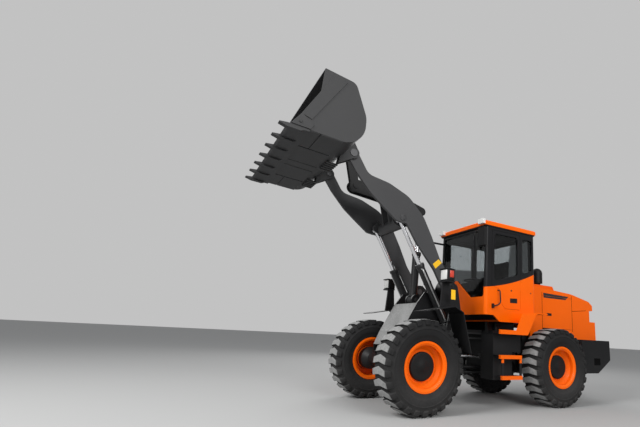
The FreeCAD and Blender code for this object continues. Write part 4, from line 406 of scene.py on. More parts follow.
def tyre_rubber(name, centre):
    """Rubber with pale worn lug faces, by the distance from this axle."""
    material = coat(name, (0.0085, 0.0085, 0.009), 0.75, dust=0.22, dust_height=1.35,
                    bump=0.002, shine=0.2)
    worn_depth, worn_edge = 0.010, 160.0
    tree = material.node_tree
    where, parts = place_of(tree)
    x = reckon(tree, "SUBTRACT", parts["X"], centre.x)
    z = reckon(tree, "SUBTRACT", parts["Z"], centre.z)
    squares = reckon(tree, "ADD", reckon(tree, "MULTIPLY", x, x), reckon(tree, "MULTIPLY", z, z))
    past = reckon(tree, "SUBTRACT", reckon(tree, "SQRT", squares), tyre_radius - worn_depth)
    worn = reckon(tree, "MULTIPLY", past, worn_edge)
    worn = reckon(tree, "MINIMUM", reckon(tree, "MAXIMUM", worn, 0.0), 1.0)
    scuffs = reckon(tree, "MULTIPLY_ADD", noise(tree, where, 22.0, 5.0, 0.7), 0.8, 0.30)
    worn = reckon(tree, "MINIMUM", reckon(tree, "MULTIPLY", worn, scuffs), 0.85)
    return masked(material, worn, (0.36, 0.36, 0.355, 1))


def tyre_carcass(name, centre):
    """The casing with its beads and ribbed sidewalls, from half its section in (y, radius)."""
    half = ((0.1775, 0.3215), (0.1775, 0.3640), (0.1905, 0.3720), (0.1990, 0.3960),
            (0.2100, 0.4350), (0.2125, 0.4380), (0.2155, 0.4500), (0.2195, 0.4700),
            (0.2222, 0.4980), (0.2205, 0.5250), (0.2245, 0.5290), (0.2235, 0.5400),
            (0.2180, 0.5460), (0.2120, 0.5800), (0.2050, 0.6100), (0.1900, 0.6330),
            (0.1500, 0.6400), (0.0700, 0.6430))
    section = half + tuple((-y, radius) for y, radius in reversed(half))
    return turned_y(name, section, centre, steps=104)


def tyre_lug(name, centre):
    """One arrow: a strip of cells across the tread, bent to its V and down both shoulders."""
    nothing_selected()
    bpy.ops.mesh.primitive_grid_add(x_subdivisions=2, y_subdivisions=14, size=2.0)
    lug = bpy.context.object
    lug.name = name
    bpy.ops.object.mode_set(mode="EDIT")
    bpy.ops.mesh.select_all(action="SELECT")
    bpy.ops.mesh.extrude_region_move(TRANSFORM_OT_translate={"value": (0, 0, -1)})
    bpy.ops.object.mode_set(mode="OBJECT")
    for vertex in lug.data.vertices:
        along, part, deep = vertex.co.x, vertex.co.y, vertex.co.z < -0.5
        share = abs(part)
        if share > shoulder_share:
            fall = (share - shoulder_share) / (1 - shoulder_share)
            y = tread_half + shoulder_out * fall
            radius = tyre_radius - tread_crown - shoulder_drop * fall
            bottom = radius - shoulder_depth
        else:
            y = tread_half * share / shoulder_share
            radius = tyre_radius - tread_crown * (share / shoulder_share) ** 3
            bottom = groove_radius
        half_length = lug_half_length - lug_taper * share
        if deep:
            y, radius = min(y, casing_half), bottom
        else:
            half_length -= lug_draft
        turn = (along * half_length + lug_lead - lug_sweep * share) / tyre_radius
        vertex.co = centre + Vector((radius * math.cos(turn), math.copysign(y, part),
                                     radius * math.sin(turn)))
    closed_up(lug)
    return eased(lug, 0.004, angle=50)


for corner in wheel_corners:
    end, side = corner.split("_")
    if side == "left":
        centre = wheel_centre(corner)
        rubber = tyre_rubber("tyre_rubber_" + end, centre)
        casing = tyre_carcass("tyre_casing", centre)
        first_lug = tyre_lug("tyre_lug", centre)
        lugs = [copied(first_lug, "tyre_lug", spun_about(centre, lug_pitch * i - math.pi / 2))
                for i in range(lug_count)]
        alone(first_lug)
        bpy.ops.object.delete()
        tyre = joined("tyre_tread_" + corner, [casing] + lugs)
    else:
        tyre = copied(tyre, "tyre_tread_" + corner, mirror_y)
    dressed(tyre, rubber, "wheel_" + corner)
    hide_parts("tyre_" + corner)

# Wheel rims and hubs
# Pressed and welded orange rims, dished in to the hub. The planetary hub is a plain black casting
# with a turned and chamfered cover that fills the middle of the disc.

orange_colour = (0.93, 0.130, 0.0)
orange = coat("orange_enamel", orange_colour, 0.34, dust=0.05, dust_height=1.2, clear=0.04,
              shine=0.12)
hub_black = coat("hub_black_enamel", (0.0065, 0.0068, 0.0072), 0.5, dust=0.08, dust_height=1.3,
                 bump=0.001, shine=0.15)
hub_section = ((0.010, 0.176), (0.010, 0.206), (0.070, 0.206), (0.084, 0.198), (0.088, 0.188),
               (0.090, 0.150), (0.092, 0.060), (0.096, 0.054), (0.096, 0.0), (0.070, 0.0))
for corner in wheel_corners:
    paint(orange, "rim_" + corner)
    if corner.endswith("left"):
        cover = turned_y("hub_cover_" + corner, hub_section, wheel_centre(corner), steps=64)
    else:
        cover = copied(cover, "hub_cover_" + corner, mirror_y)
    dressed(cover, hub_black, "wheel_" + corner)

# Frames, axles and tanks
# Two welded plate frames joined at a vertical pivot, with cast axles and a sheet tank between the
# wheels, all in dark grey enamel. The front frame's sloping plates are pale where they face up,
# from dust and from a painted sky highlight. The pins are bare steel.

chassis_grey = (0.0080, 0.0080, 0.0088)
chassis = coat("chassis_grey_enamel", chassis_grey, 0.42, dust=0.10, dust_height=1.6, shine=0.2)
paint(chassis, "rear_frame", "side_tanks", "rear_axle", "front_axle", "lamp_posts",
      "front_fenders")
# The front frame's coat is pale on its upward faces: some of it dust, and on the sloping plates a
# painted highlight of the sky.
tower_dust_and_highlight_coat = coat("tower_dusty_enamel", chassis_grey, 0.42, dust=6.0, dust_height=0.3, shine=0.2)
tower_dust_and_highlight_colour = tower_dust_and_highlight_coat.node_tree.nodes["age"].inputs["Dust Colour"]
tower_dust_and_highlight_colour.default_value = (0.34, 0.34, 0.335, 1)
paint(tower_dust_and_highlight_coat, "front_frame")
steel = coat("bare_bolt_steel", (0.07, 0.07, 0.072), 0.45, dust=0.1, dust_height=4.0, metal=0.9)
paint(steel, "frame_pins", "steer_pins", "bucket_pins", "crank_pin", "link_pin")

# Lift arms
# Two thick plate arms joined by a cross tube, in dark grey enamel; the linkage castings are painted
# near-black as painted shade.
# Each arm has a bolted cover over its lift cylinder's pin and a blank yellow sign; the tower's
# pins have covers too.

arm_grey = coat("arm_grey_enamel", (0.048, 0.048, 0.050), 0.45, dust=0.10, dust_height=5.0,
                shine=0.25)
paint(arm_grey, "boom")
# The bell crank and tilt link are painted near-black: painted shade for the shadow they stand in.
linkage_shade_black = coat("linkage_black_enamel", (0.0085, 0.0085, 0.009), 0.45, dust=0.08,
                     dust_height=5.0, shine=0.2)
paint(linkage_shade_black, "bell_crank", "tilt_link")
arm_face, tower_face = 0.600, 0.642
lift_eye = Vector((1.720, 0, 2.970))
cap_bolt_radius, cap_bolt_height = 0.0095, 0.010


def plate_y(name, outline, y0, y1):
    """A flat plate that faces sideways, from an outline of (x, z) points, between two y values."""
    piece = traced(name, [at(x, y0, z) for x, z in outline])
    bpy.ops.object.mode_set(mode="EDIT")
    bpy.ops.mesh.select_all(action="SELECT")
    bpy.ops.mesh.extrude_region_move(TRANSFORM_OT_translate={"value": (0, y1 - y0, 0)})
    bpy.ops.object.mode_set(mode="OBJECT")
    return closed_up(piece)


def both_sides(name, piece):
    """A left-hand piece and its mirror image on the right, as one."""
    return joined(name, [piece, copied(piece, name + "_right", mirror_y)])


def facing(piece, way, least=0.9):
    """Opens a piece for editing with only the faces that look one way selected."""
    alone(piece)
    bpy.ops.object.mode_set(mode="EDIT")
    bpy.ops.mesh.select_all(action="DESELECT")
    bpy.ops.object.mode_set(mode="OBJECT")
    for face in piece.data.polygons:
        face.select = face.normal.dot(Vector(way)) > least
    bpy.ops.object.mode_set(mode="EDIT")


def hexagon_y(name, centre, radius, height):
    """A bolt head on a left-hand face, with its outer corners turned off."""
    nothing_selected()
    bpy.ops.mesh.primitive_cylinder_add(vertices=6, radius=radius, depth=height, location=centre,
                                        rotation=(math.radians(90), 0, 0))
    head = bpy.context.object
    head.name = name
    bpy.ops.object.transform_apply(location=True, rotation=True, scale=True)
    facing(head, (0, 1, 0))
    bpy.ops.mesh.inset(thickness=radius * 0.18, depth=0.0)
    bpy.ops.transform.translate(value=(0, height * 0.15, 0))
    bpy.ops.object.mode_set(mode="OBJECT")
    return head


def pin_cap(name, centre, y, radius, thick):
    """A round pin cover with a turned edge, and the three bolts that hold it."""
    section = ((y - 0.002, 0.0), (y + thick, 0.0), (y + thick, radius * 0.82),
               (y + thick * 0.6, radius), (y - 0.002, radius))
    cap = turned_y(name, section, centre, steps=32)
    bolt_place = centre + Vector((radius * 0.62, y + thick + 0.004, 0))
    first = hexagon_y("bolt", bolt_place, cap_bolt_radius, cap_bolt_height)
    bolts = [copied(first, "bolt", spun_about(centre, 2 * math.pi * i / 3)) for i in (1, 2)]
    return joined(name, [cap, first] + bolts)


arm_cap = pin_cap("lift_pin_cap", at(*lift_eye), arm_face, radius=0.062, thick=0.012)
dressed(both_sides("lift_pin_caps", arm_cap), arm_grey, "boom")
tower_cap = pin_cap("tower_pin_cap", at(0.750, 0, 1.900), tower_face, radius=0.078, thick=0.014)
dressed(both_sides("arm_pin_caps", tower_cap), chassis, "front_frame")

yellow = coat("sign_yellow", (0.93, 0.52, 0.0), 0.4, dust=0.08, dust_height=3.0)
sign = plate_y("arm_sign", ((0.919, 2.319), (0.987, 2.372), (1.100, 2.276), (1.041, 2.206)),
               arm_face - 0.001, arm_face + 0.0015)
dressed(both_sides("arm_signs", eased(sign, 0.0005)), yellow, "boom")

# Lift, tilt and steering cylinders
# Black barrels with bright chromed rods, a bolted gland at the rod's end of each barrel, and a
# bare steel oil pipe clamped along the outside of each lift barrel.

barrel_black = coat("cylinder_black_enamel", (0.012, 0.012, 0.013), 0.35, dust=0.08,
                    dust_height=4.0, shine=0.3)
paint(barrel_black, "tilt_barrel", "lift_barrel_left", "lift_barrel_right", "steer_barrel_left",
      "steer_barrel_right")
chrome = coat("rod_chrome", (0.74, 0.74, 0.76), 0.16, dust=0.02, dust_height=4.0, bump=0.0001,
              metal=1.0)
paint(chrome, "tilt_rod", "lift_rod_left", "lift_rod_right", "steer_rod_left", "steer_rod_right")
pipe_steel = coat("bright_pipe", (0.50, 0.50, 0.50), 0.25, dust=0.05, dust_height=4.0, metal=0.8)


def along_line(name, start, way, section, steps=28):
    """A turned piece on a slanting axis: section points are (distance from start, radius)."""
    piece = traced(name, [Vector((radius, 0, far)) for far, radius in section], fill="NOTHING")
    bpy.ops.object.mode_set(mode="EDIT")
    bpy.ops.mesh.select_all(action="SELECT")
    bpy.ops.mesh.spin(steps=steps, angle=2 * math.pi, center=(0, 0, 0), axis=(0, 0, 1))
    bpy.ops.object.mode_set(mode="OBJECT")
    turn = way.to_track_quat("Z", "Y").to_matrix().to_4x4()
    piece.data.transform(Matrix.Translation(start) @ turn)
    return closed_up(piece)


def rounded_route(corners, bend, steps=5):
    """Points of a line with its inner corners rounded."""
    route = [corners[0]]
    for before, corner, after in zip(corners, corners[1:], corners[2:]):
        reach = min(bend, (before - corner).length / 2.1, (after - corner).length / 2.1)
        first = corner + (before - corner).normalized() * reach
        last = corner + (after - corner).normalized() * reach
        for i in range(steps + 1):
            share = i / steps
            route.append(first * (1 - share) ** 2 + corner * 2 * share * (1 - share)
                         + last * share ** 2)
    return route + [corners[-1]]


def pipe(name, corners, radius, bend, sides=10):
    """A bent tube: a ring of points drawn along its route, with both ends closed."""
    route = rounded_route(corners, bend)
    nothing_selected()
    bpy.ops.mesh.primitive_circle_add(vertices=sides, radius=radius, fill_type="NGON")
    tube = bpy.context.object
    tube.name = name
    ways = [(b - a).normalized() for a, b in zip(route, route[1:])]
    turn = ways[0].to_track_quat("Z", "Y")
    tube.data.transform(Matrix.Translation(route[0]) @ turn.to_matrix().to_4x4())
    bpy.ops.object.mode_set(mode="EDIT")
    bpy.ops.mesh.select_all(action="SELECT")
    for number, spot in enumerate(route[1:]):
        way = ways[number]
        nearest = ways[min(number + 1, len(ways) - 1)]
        step = way * (spot - route[number]).length
        bpy.ops.mesh.extrude_region_move(TRANSFORM_OT_translate={"value": step})
        middle = (way + nearest).normalized()
        before = (ways[max(number - 1, 0)] + way).normalized() if number else way
        turned = before.rotation_difference(middle).to_matrix()
        for vertex in bmesh.from_edit_mesh(tube.data).verts:
            if vertex.select:
                vertex.co = spot + turned @ (vertex.co - spot)
        bmesh.update_edit_mesh(tube.data)
    bpy.ops.object.mode_set(mode="OBJECT")
    return closed_up(tube, 0.00002)


def dressed_pair(name, piece, material, body):
    """A left-hand piece and its mirror image, each moving with the body on its own side."""
    piece.name = name + "_left"
    twin = copied(piece, name + "_right", mirror_y)
    dressed(piece, material, body + "_left")
    dressed(twin, material, body + "_right")


lift_base = Vector((0.660, 0, 1.240))
lift_way = (lift_eye - lift_base).normalized()
lift_y, pipe_out, pipe_back = 0.470, 0.092, -0.030
lift_start = at(lift_base.x, lift_y, lift_base.z)
lift_gland = along_line("gland", lift_start, lift_way, (
    (1.145, 0.050), (1.145, 0.074), (1.150, 0.078), (1.196, 0.078), (1.202, 0.074), (1.202, 0.040)))
lift_foot = along_line("foot_ring", lift_start, lift_way, (
    (0.070, 0.050), (0.070, 0.073), (0.110, 0.073), (0.118, 0.067), (0.118, 0.050)))
dressed_pair("lift_gland", joined("gland", [lift_gland, lift_foot]), barrel_black, "lift_barrel")
aside = Vector((0, pipe_out, 0))
behind = lift_way.cross(Vector((0, 1, 0))) * pipe_back
oil_route = [lift_start + lift_way * far + aside * share + behind for far, share in (
    (0.150, 0.62), (0.165, 1.0), (1.100, 1.0), (1.120, 0.62))]
dressed_pair("lift_pipe", pipe("oil_pipe", oil_route, 0.0125, bend=0.03), pipe_steel,
             "lift_barrel")
clamp_low, clamp_high, clamp_pitch = 0.360, 0.388, 0.480
clamp = along_line("clamp", lift_start, lift_way, (
    (clamp_low, 0.060), (clamp_low, 0.0705), (clamp_high, 0.0705), (clamp_high, 0.060)))
upper_clamp = copied(clamp, "clamp", Matrix.Translation(lift_way * clamp_pitch))
dressed_pair("lift_clamps", joined("clamps", [clamp, upper_clamp]), barrel_black, "lift_barrel")

tilt_base, tilt_eye = Vector((1.097, 0, 1.702)), Vector((1.061, 0, 3.323))
tilt_gland = along_line("tilt_gland", at(*tilt_base), (tilt_eye - tilt_base).normalized(), (
    (0.800, 0.050), (0.800, 0.079), (0.806, 0.083), (0.852, 0.083), (0.858, 0.079), (0.858, 0.042)))
dressed(tilt_gland, barrel_black, "tilt_barrel")

# Bucket
# A rolled and welded plate bucket in grey enamel. Its side edges carry doubler plates, its floor
# has wear strips and short heel slats, and seven forged teeth stand on the cutting edge.

bucket_grey = coat("bucket_grey_enamel", (0.034, 0.034, 0.035), 0.5, dust=0.06, dust_height=6.5,
                   bump=0.0015, shine=0.25)
paint(bucket_grey, "bucket", "bucket_teeth")
bucket_side, let_in = 1.270, 0.003
doubler = plate_y("edge_doubler", ((3.706, 3.876), (3.560, 3.828), (3.131, 4.572), (3.319, 4.638)),
                  bucket_side - let_in, bucket_side + 0.009)
corner_plate = plate_y("corner_doubler", (
    (3.696, 3.880), (3.822, 3.696), (3.560, 3.681), (3.520, 3.760)),
    bucket_side - let_in, bucket_side + 0.014)
corner_bolt = hexagon_y("corner_bolt", at(3.704, bucket_side + 0.018, 3.754), 0.022, 0.012)
side_plates = joined("bucket_side_plate", [eased(doubler, 0.003), eased(corner_plate, 0.003),
                                           corner_bolt])
dressed(both_sides("bucket_side_plates", side_plates), bucket_grey, "bucket")

floor_edge_x, floor_edge_z, floor_slope = 3.830, 3.690, 0.0577


def floor_at(x):
    """Height of the outer face of the bucket's floor, which slopes down towards its heel."""
    return floor_edge_z - (floor_edge_x - x) * floor_slope


def floor_strip(name, x0, x1, y0, y1, thick=0.012, sunk=0.004, ease=0.003):
    """A wear plate or bar welded flat under the floor."""
    strip = plate_y(name, ((x0, floor_at(x0) - thick), (x1, floor_at(x1) - thick),
                           (x1, floor_at(x1) + sunk), (x0, floor_at(x0) + sunk)), y0, y1)
    return eased(strip, ease)


strips = [floor_strip("wear_strip", x0, x1, y0, y1) for x0, x1, y0, y1 in (
    (3.100, 3.600, 0.125, 0.686), (3.100, 3.414, 0.714, 1.262), (3.426, 3.690, 0.714, 1.262))]
dressed(both_sides("floor_wear_strips", joined("floor_wear_strip", strips)), bucket_grey, "bucket")
middle_strip = floor_strip("floor_middle_strip", 3.100, 3.600, -0.105, 0.105)
dressed(middle_strip, bucket_grey, "bucket")
slat_width, slat_pitch, slats_in_group = 0.036, 0.082, 5
near_group, far_group = 0.110, -0.900
first_slat = floor_strip("heel_slat", 2.880, 3.060, near_group, near_group + slat_width,
                         thick=0.022, ease=0.004)
slats = [first_slat] + [
    copied(first_slat, "heel_slat", Matrix.Translation((0, y0 - near_group + slat_pitch * i, 0)))
    for y0 in (near_group, far_group) for i in range(slats_in_group) if (y0, i) != (near_group, 0)]
dressed(joined("heel_slats", slats), bucket_grey, "bucket")

# Counterweight
# One rough iron casting behind the rear wheels, painted dark grey, with a square socket low
# on each side where a lifting pin is fitted; the socket is a shallow inset painted black as painted
# shade of its depth.

cast = coat("cast_weight_paint", (0.0085, 0.0088, 0.0095), 0.6, dust=0.08, dust_height=1.4,
            bump=0.004, shine=0.15)
paint(cast, "counterweight")
# Near-black for the bonnet's seams, and as painted shade in the counterweight's sockets.
recess_black = coat("recess_black", (0.002, 0.002, 0.002), 0.8, dust=0.02, shine=0.05)


def framed(name, outline, y0, y1, border, sunk):
    """A sideways plate whose face is inset by a border and pushed in."""
    piece = plate_y(name, outline, y0, y1)
    facing(piece, (0, 1, 0))
    bpy.ops.mesh.inset(thickness=border, depth=-sunk)
    bpy.ops.object.mode_set(mode="OBJECT")
    return piece


weight_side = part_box("counterweight")[1].y
recess_outline = ((-2.690, 0.713), (-2.510, 0.713), (-2.510, 0.838), (-2.690, 0.838))
# The socket's face is near-black: painted shade standing in for the depth of the hole.
recess = framed("weight_recess", recess_outline, weight_side - 0.010, weight_side + 0.005,
                border=0.012, sunk=0.003)
dressed(both_sides("weight_recesses", recess), recess_black, "rear_frame")

# Engine, grille and exhaust
# Behind the moulded black grille stands the engine, shown as a plain iron block. The exhaust
# above it has a pressed dome and is as black as the grille.

engine_iron = coat("engine_iron", (0.03, 0.03, 0.03), 0.7, dust=0.3, dust_height=2.4, bump=0.003)
paint(engine_iron, "engine_block")
black_moulding = coat("black_moulding", (0.006, 0.006, 0.0066), 0.5, dust=0.06, dust_height=2.0,
                      bump=0.0012, shine=0.25)
paint(black_moulding, "rear_grille", "exhaust")

# Bonnet
# Pressed and welded sheet in orange enamel: a fixed hood with a lifting door on each side. Each
# door has a black latch, thin dark seams part the panels, and a slanted blank black name strip
# runs along the top of each side.

paint(orange, "bonnet", "engine_door_left", "engine_door_right")
door_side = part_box("engine_door_left")[1].y
door_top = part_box("engine_door_left")[1].z
gloss_black = coat("gloss_black_film", (0.008, 0.008, 0.009), 0.25, dust=0.05, dust_height=2.0,
                   bump=0.0001)
under_skin, film, seam_width = 0.002, 0.0015, 0.009
strip = plate_y("name_strip", ((-1.600, door_top + 0.003), (-1.591, 2.056), (-2.350, 2.038),
                               (-2.304, door_top + 0.003)),
                door_side - under_skin, door_side + film)
dressed(both_sides("name_strips", strip), gloss_black, "rear_frame")
foot = plate_y("strip_foot", ((-1.606, 1.960), (-1.600, door_top - 0.002),
                              (-2.302, door_top - 0.002), (-2.257, 1.965)),
               door_side - under_skin, door_side + film)
dressed_pair("strip_foot", foot, gloss_black, "engine_door")
seam_outlines = [((x, low), (x + seam_width, low), (x + seam_width, high), (x, high))
                 for x, low, high in ((-1.560, 1.340, 2.070), (-2.449, 1.330, 2.060))]
seam_outlines.append(((-2.450, 1.742), (-2.450, 1.750), (-2.900, 1.796), (-2.900, 1.788)))
seams = [plate_y("bonnet_seam", outline, door_side - under_skin, door_side + 0.0012)
         for outline in seam_outlines]
dressed(both_sides("bonnet_seams", joined("bonnet_seams", seams)), recess_black, "rear_frame")
latch = framed("door_latch", ((-1.815, 1.612), (-1.690, 1.612), (-1.690, 1.662), (-1.815, 1.662)),
               door_side - under_skin, door_side + 0.008, border=0.010, sunk=0.005)
dressed_pair("door_latch", eased(latch, 0.002), black_moulding, "engine_door")

# Tanks, steps and rear fenders
# Two orange tread bars hang on dark straps beside each tank, in front of dark non-slip plates.
# The orange rear fenders are folded sheet with a flat ledge, dark on its inner side, that reaches
# forward over the tank.

steps_paint = coat("steps_enamel", orange_colour, 0.34, dust=0.08, dust_height=1.2, clear=0.04,
                   shine=0.12)
plate_face, strap_low, strap_high = 0.970, 0.532, 0.735
tree = steps_paint.node_tree
where, parts = place_of(tree)
plates = reckon(tree, "LESS_THAN", reckon(tree, "ABSOLUTE", parts["Y"]), plate_face)
straps = reckon(tree, "MULTIPLY", reckon(tree, "GREATER_THAN", parts["Z"], strap_low),
                reckon(tree, "LESS_THAN", parts["Z"], strap_high))
masked(steps_paint, reckon(tree, "MAXIMUM", plates, straps), (0.016, 0.016, 0.017, 1))
paint(steps_paint, "steps")
fender_paint = coat("rear_fender_enamel", orange_colour, 0.34, dust=0.08, dust_height=1.4,
                    clear=0.04, shine=0.12)
ledge_inner, ledge_start, ledge_top = 0.972, pivot_x - 0.68, 1.24
tree = fender_paint.node_tree
where, parts = place_of(tree)
inner = reckon(tree, "LESS_THAN", reckon(tree, "ABSOLUTE", parts["Y"]), ledge_inner)
forward = reckon(tree, "GREATER_THAN", parts["X"], ledge_start)
low_down = reckon(tree, "LESS_THAN", parts["Z"], ledge_top)
ledge = reckon(tree, "MULTIPLY", reckon(tree, "MULTIPLY", inner, forward), low_down)
masked(fender_paint, ledge, (0.010, 0.010, 0.011, 1))
paint(fender_paint, "rear_fenders")

# Window glass
# Tinted safety glass, bonded into the cab and held in the door, a little smeared.

glass = bpy.data.materials.new("tinted_glass")
glass.use_nodes = True
tree = glass.node_tree
shader = tree.nodes["Principled BSDF"]
shader.inputs["Base Color"].default_value = (0.27, 0.285, 0.29, 1)
shader.inputs["Transmission Weight"].default_value = 1.0
shader.inputs["IOR"].default_value = 1.30
smears = noise(tree, place_of(tree)[0], 6.0, 5.0, 0.6)
tree.links.new(reckon(tree, "MULTIPLY", smears, 0.06), shader.inputs["Roughness"])
paint(glass, "cab_glass", "door_glass")

# Cab walls and door
# Welded posts and pressed panels. Outside they are orange below a belt line that rises to the
# rear. The posts, the door's frame above the belt, the sills and the lining inside are black.

cab_paint = coat("cab_two_tone_enamel", orange_colour, 0.34, dust=0.05, dust_height=1.2,
                 clear=0.04, shine=0.12)
belt_height, belt_slope, belt_bend = 2.005, 0.135, 0.137
front_depth, screen_half, screen_rise = 0.05, 0.62, 0.19
sill_top, lining_out, lining_back, lining_low = 1.413, 0.69, 1.17, 1.44
tree = cab_paint.node_tree
where, parts = place_of(tree)
back = reckon(tree, "SUBTRACT", pivot_x, parts["X"])
rise = reckon(tree, "MULTIPLY_ADD", back, belt_bend, belt_slope)
belt = reckon(tree, "MULTIPLY_ADD", back, rise, belt_height)
outer = reckon(tree, "ABSOLUTE", parts["Y"])
screen = reckon(tree, "MULTIPLY", reckon(tree, "LESS_THAN", back, front_depth),
                reckon(tree, "LESS_THAN", outer, screen_half))
belt = reckon(tree, "MULTIPLY_ADD", screen, screen_rise, belt)
black = reckon(tree, "MAXIMUM", reckon(tree, "GREATER_THAN", parts["Z"], belt),
               reckon(tree, "LESS_THAN", parts["Z"], sill_top))
lining = reckon(tree, "LESS_THAN", outer, lining_out)
for operation, socket, limit in (("GREATER_THAN", back, 0.0), ("LESS_THAN", back, lining_back),
                                 ("GREATER_THAN", parts["Z"], lining_low)):
    lining = reckon(tree, "MULTIPLY", lining, reckon(tree, operation, socket, limit))
masked(cab_paint, reckon(tree, "MAXIMUM", black, lining), (0.012, 0.012, 0.013, 1))
paint(cab_paint, "cab_shell", "cab_door")
cab_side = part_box("cab_shell")[1].y

# Cab fittings
# A black grab rail beside the door, a recessed black lock plate with a round key lock above it,
# a cover screw on each side, and a single wiper on the windscreen, all black plastic or steel.
# The mirrors, console and steering column are of the same black plastic.

paint(black_moulding, "mirrors", "console", "steering_column")
rail_black = coat("rail_black_enamel", (0.008, 0.008, 0.009), 0.4, dust=0.08, dust_height=1.8,
                  shine=0.3)


def block(name, low, high, width, segments):
    """A box between two corners of the machine, with its edges eased."""
    nothing_selected()
    bpy.ops.mesh.primitive_cube_add(size=1.0)
    piece = bpy.context.object
    piece.name = name
    low, high = at(*low), at(*high)
    bpy.ops.object.mode_set(mode="EDIT")
    bpy.ops.transform.resize(value=high - low)
    bpy.ops.transform.translate(value=(low + high) / 2)
    bpy.ops.mesh.bevel(offset=width, segments=segments, affect="EDGES")
    bpy.ops.object.mode_set(mode="OBJECT")
    return piece


rail_out = cab_side + 0.060
rail = pipe("grab_rail", [at(-0.245, cab_side - 0.004, 1.965), at(-0.245, rail_out, 1.955),
                          at(-0.262, rail_out, 1.757), at(-0.225, rail_out, 1.705),
                          at(-0.112, rail_out - 0.018, 1.672)], 0.0115, bend=0.035)
rail_foot = block("grab_rail_foot", (-0.124, cab_side - 0.003, 1.636),
                  (-0.100, rail_out - 0.006, 1.716), 0.003, 1)
dressed(joined("grab_rail", [rail, rail_foot]), rail_black, "rear_frame")
lock_outline = ((-0.716, 1.767), (-0.544, 1.762), (-0.544, 1.842), (-0.716, 1.853))
lock = framed("door_lock_plate", lock_outline, cab_side - 0.003, cab_side + 0.007, border=0.012,
              sunk=0.004)
dressed(eased(lock, 0.002), black_moulding, "cab_door")


def screw(name, x, z, radius, head=0.006):
    """A round-headed cover screw on the cab's side."""
    foot = cab_side - 0.002
    section = ((foot, 0.0), (cab_side + head, 0.0), (cab_side + head * 0.9, radius * 0.6),
               (cab_side + head * 0.4, radius), (foot, radius))
    return turned_y(name, section, at(x, 0, z), steps=16)


dressed(screw("door_key_lock", -0.575, 1.985, 0.016), rail_black, "cab_door")
cover_screw = screw("cab_cover_screw", -1.074, 1.981, 0.013)
dressed(both_sides("cab_cover_screws", cover_screw), rail_black, "rear_frame")

wiper_y = 0.430
wiper = pipe("wiper_arm", [at(0.060, wiper_y, 3.060), at(0.098, wiper_y, 3.030),
                           at(0.104, wiper_y - 0.005, 2.700)], 0.006, bend=0.02)
blade = block("wiper_blade", (0.066, wiper_y - 0.013, 2.480), (0.100, wiper_y + 0.003, 2.980),
              0.004, 1)
dressed(joined("windscreen_wiper", [wiper, blade]), rail_black, "rear_frame")

# Cab roof
# An orange moulded cap on a black gutter, with two white work lamps at its front corners.

paint(orange, "cab_roof")
roof_low, roof_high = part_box("cab_roof")
gutter_in, gutter_drop, gutter_lap = 0.012, 0.022, 0.006
gutter = block("roof_gutter",
               (roof_low.x - pivot_x + gutter_in, roof_low.y + gutter_in, roof_low.z - gutter_drop),
               (roof_high.x - pivot_x - gutter_in, roof_high.y - gutter_in,
                roof_low.z + gutter_lap), 0.006, 1)
dressed(gutter, black_moulding, "rear_frame")
lamp_white = coat("work_lamp_white", (0.74, 0.74, 0.72), 0.2, dust=0.03, dust_height=4.0,
                  bump=0.0002, clear=0.6)
paint(lamp_white, "roof_lamps")

# Seat
# A fabric-covered driver's seat: a crowned foam cushion and a backrest, both drawn in along
# their edges, on a plain black pedestal.

seat_cloth = coat("seat_cloth", (0.022, 0.022, 0.024), 0.85, dust=0.05, dust_height=1.0,
                  bump=0.0015)
paint(black_moulding, "seat_base")
seat_low, seat_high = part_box("seat_cushions")


def foam_pad(name, low, high, thin, crown=0.022, pinch=0.010):
    """A pad between two corners: fullest in the middle of its broad faces, pinched at its sides."""
    pad = block(name, low, high, 0.022, 3)
    bpy.ops.object.mode_set(mode="EDIT")
    bpy.ops.mesh.select_all(action="SELECT")
    bpy.ops.mesh.subdivide(number_cuts=8)
    bpy.ops.object.mode_set(mode="OBJECT")
    middle, half = (at(*low) + at(*high)) / 2, (at(*high) - at(*low)) / 2
    broad = [axis for axis in range(3) if axis != thin]
    for vertex in pad.data.vertices:
        share = [(vertex.co[axis] - middle[axis]) / half[axis] for axis in range(3)]
        full = (1 - share[broad[0]] ** 2) * (1 - share[broad[1]] ** 2)
        vertex.co[thin] += crown * full * share[thin]
        for axis, other in (broad, broad[::-1]):
            vertex.co[axis] -= pinch * share[axis] ** 3 * (1 - share[other] ** 2)
    return pad


def filled(pad, reach=0.022):
    """Swells a pad's cover by its filling, no further than its reach."""
    alone(pad)
    even = pad.modifiers.new("even cover", "REMESH")
    even.mode = "VOXEL"
    even.voxel_size = 0.008
    bpy.ops.object.modifier_apply(modifier=even.name)
    before = [vertex.co.copy() for vertex in pad.data.vertices]
    filling = pad.modifiers.new("filling", "CLOTH")
    filling.settings.use_pressure = True
    filling.settings.uniform_pressure_force = 4.0
    filling.settings.effector_weights.gravity = 0.0
    for number in range(1, 13):
        bpy.context.scene.frame_set(number)
    bpy.ops.object.modifier_apply(modifier=filling.name)
    bpy.context.scene.frame_set(1)
    for vertex, old in zip(pad.data.vertices, before):
        moved = vertex.co - old
        vertex.co = old + moved * min(1.0, reach / max(moved.length, 1e-6))
    return pad


cushion_start, cushion_top, cushion_margin = 0.115, 0.112, 0.012
back_thick, back_foot, back_margin = 0.104, 0.130, 0.020
x0, x1 = seat_low.x - pivot_x, seat_high.x - pivot_x
cushion = filled(foam_pad(
    "seat_cushion",
    (x0 + cushion_start, seat_low.y + cushion_margin, seat_low.z + 0.004),
    (x1 - 0.010, seat_high.y - cushion_margin, seat_low.z + cushion_top), thin=2))
backrest = filled(foam_pad(
    "seat_backrest",
    (x0 + 0.010, seat_low.y + back_margin, seat_low.z + back_foot),
    (x0 + back_thick, seat_high.y - back_margin, seat_high.z - 0.008), thin=0))
for pad in (cushion, backrest):
    dressed(pad, seat_cloth, "rear_frame", smooth=60)
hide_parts("seat_cushions")
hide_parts("seat_cushions")

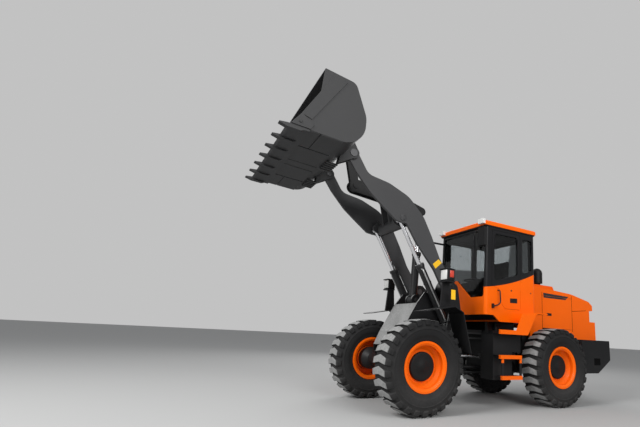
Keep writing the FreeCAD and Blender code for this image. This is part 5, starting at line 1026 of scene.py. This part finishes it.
# Lamps
# A headlamp stands on a black folded post on each front fender: a square lamp with a white lens
# in a hooded black case, and on the case's outer side a square red turn lamp. The post below
# carries a blank yellow plate. The tail lamps have the same red lenses.

white_lens = coat("white_lens", (0.70, 0.70, 0.68), 0.14, dust=0.04, dust_height=3.0,
                  bump=0.0003, clear=1.0)
red_lens = coat("red_lens", (0.55, 0.035, 0.012), 0.15, dust=0.05, clear=1.0)
paint(red_lens, "tail_lamps")
lamp_low, lamp_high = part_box("headlamps")
back_x, front_x = lamp_low.x - pivot_x, lamp_high.x - pivot_x
foot_z, top_z, outer_y = lamp_low.z, lamp_high.z, lamp_high.y
inner_y = outer_y - 0.200

case = block("headlamp_case", (back_x, inner_y, foot_z), (front_x - 0.012, outer_y - 0.008, top_z),
             0.016, 3)
facing(case, (1, 0, 0), least=0.95)
bpy.ops.mesh.inset(thickness=0.014, depth=-0.018)
bpy.ops.object.mode_set(mode="OBJECT")
hood = block("headlamp_hood", (back_x + 0.010, inner_y - 0.002, top_z - 0.014),
             (front_x + 0.014, outer_y + 0.002, top_z + 0.004), 0.004, 1)
cases = both_sides("headlamp_cases", joined("headlamp_case", [case, hood]))
dressed(cases, black_moulding, "front_frame")
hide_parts("headlamps")
lens = block("headlamp_lens", (front_x - 0.036, inner_y + 0.016, foot_z + 0.018),
             (front_x - 0.004, outer_y - 0.022, top_z - 0.020), 0.006, 2)
dressed(both_sides("headlamp_lenses", lens), white_lens, "front_frame")
turn_lens = block("turn_lamp_lens", (back_x + 0.028, outer_y - 0.012, foot_z + 0.052),
                  (back_x + 0.098, outer_y + 0.002, top_z - 0.030), 0.004, 2)
dressed(both_sides("turn_lamp_lenses", turn_lens), red_lens, "front_frame")
post_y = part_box("lamp_posts")[1].y
plate = plate_y("post_plate", ((0.975, 1.670), (1.055, 1.670), (1.060, 1.820), (0.980, 1.820)),
                post_y - 0.002, post_y + 0.003)
dressed(both_sides("post_plates", eased(plate, 0.001)), yellow, "front_frame")

# Sizes
# The size of the dressed machine is found from the bounds of all that is shown.

low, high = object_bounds()
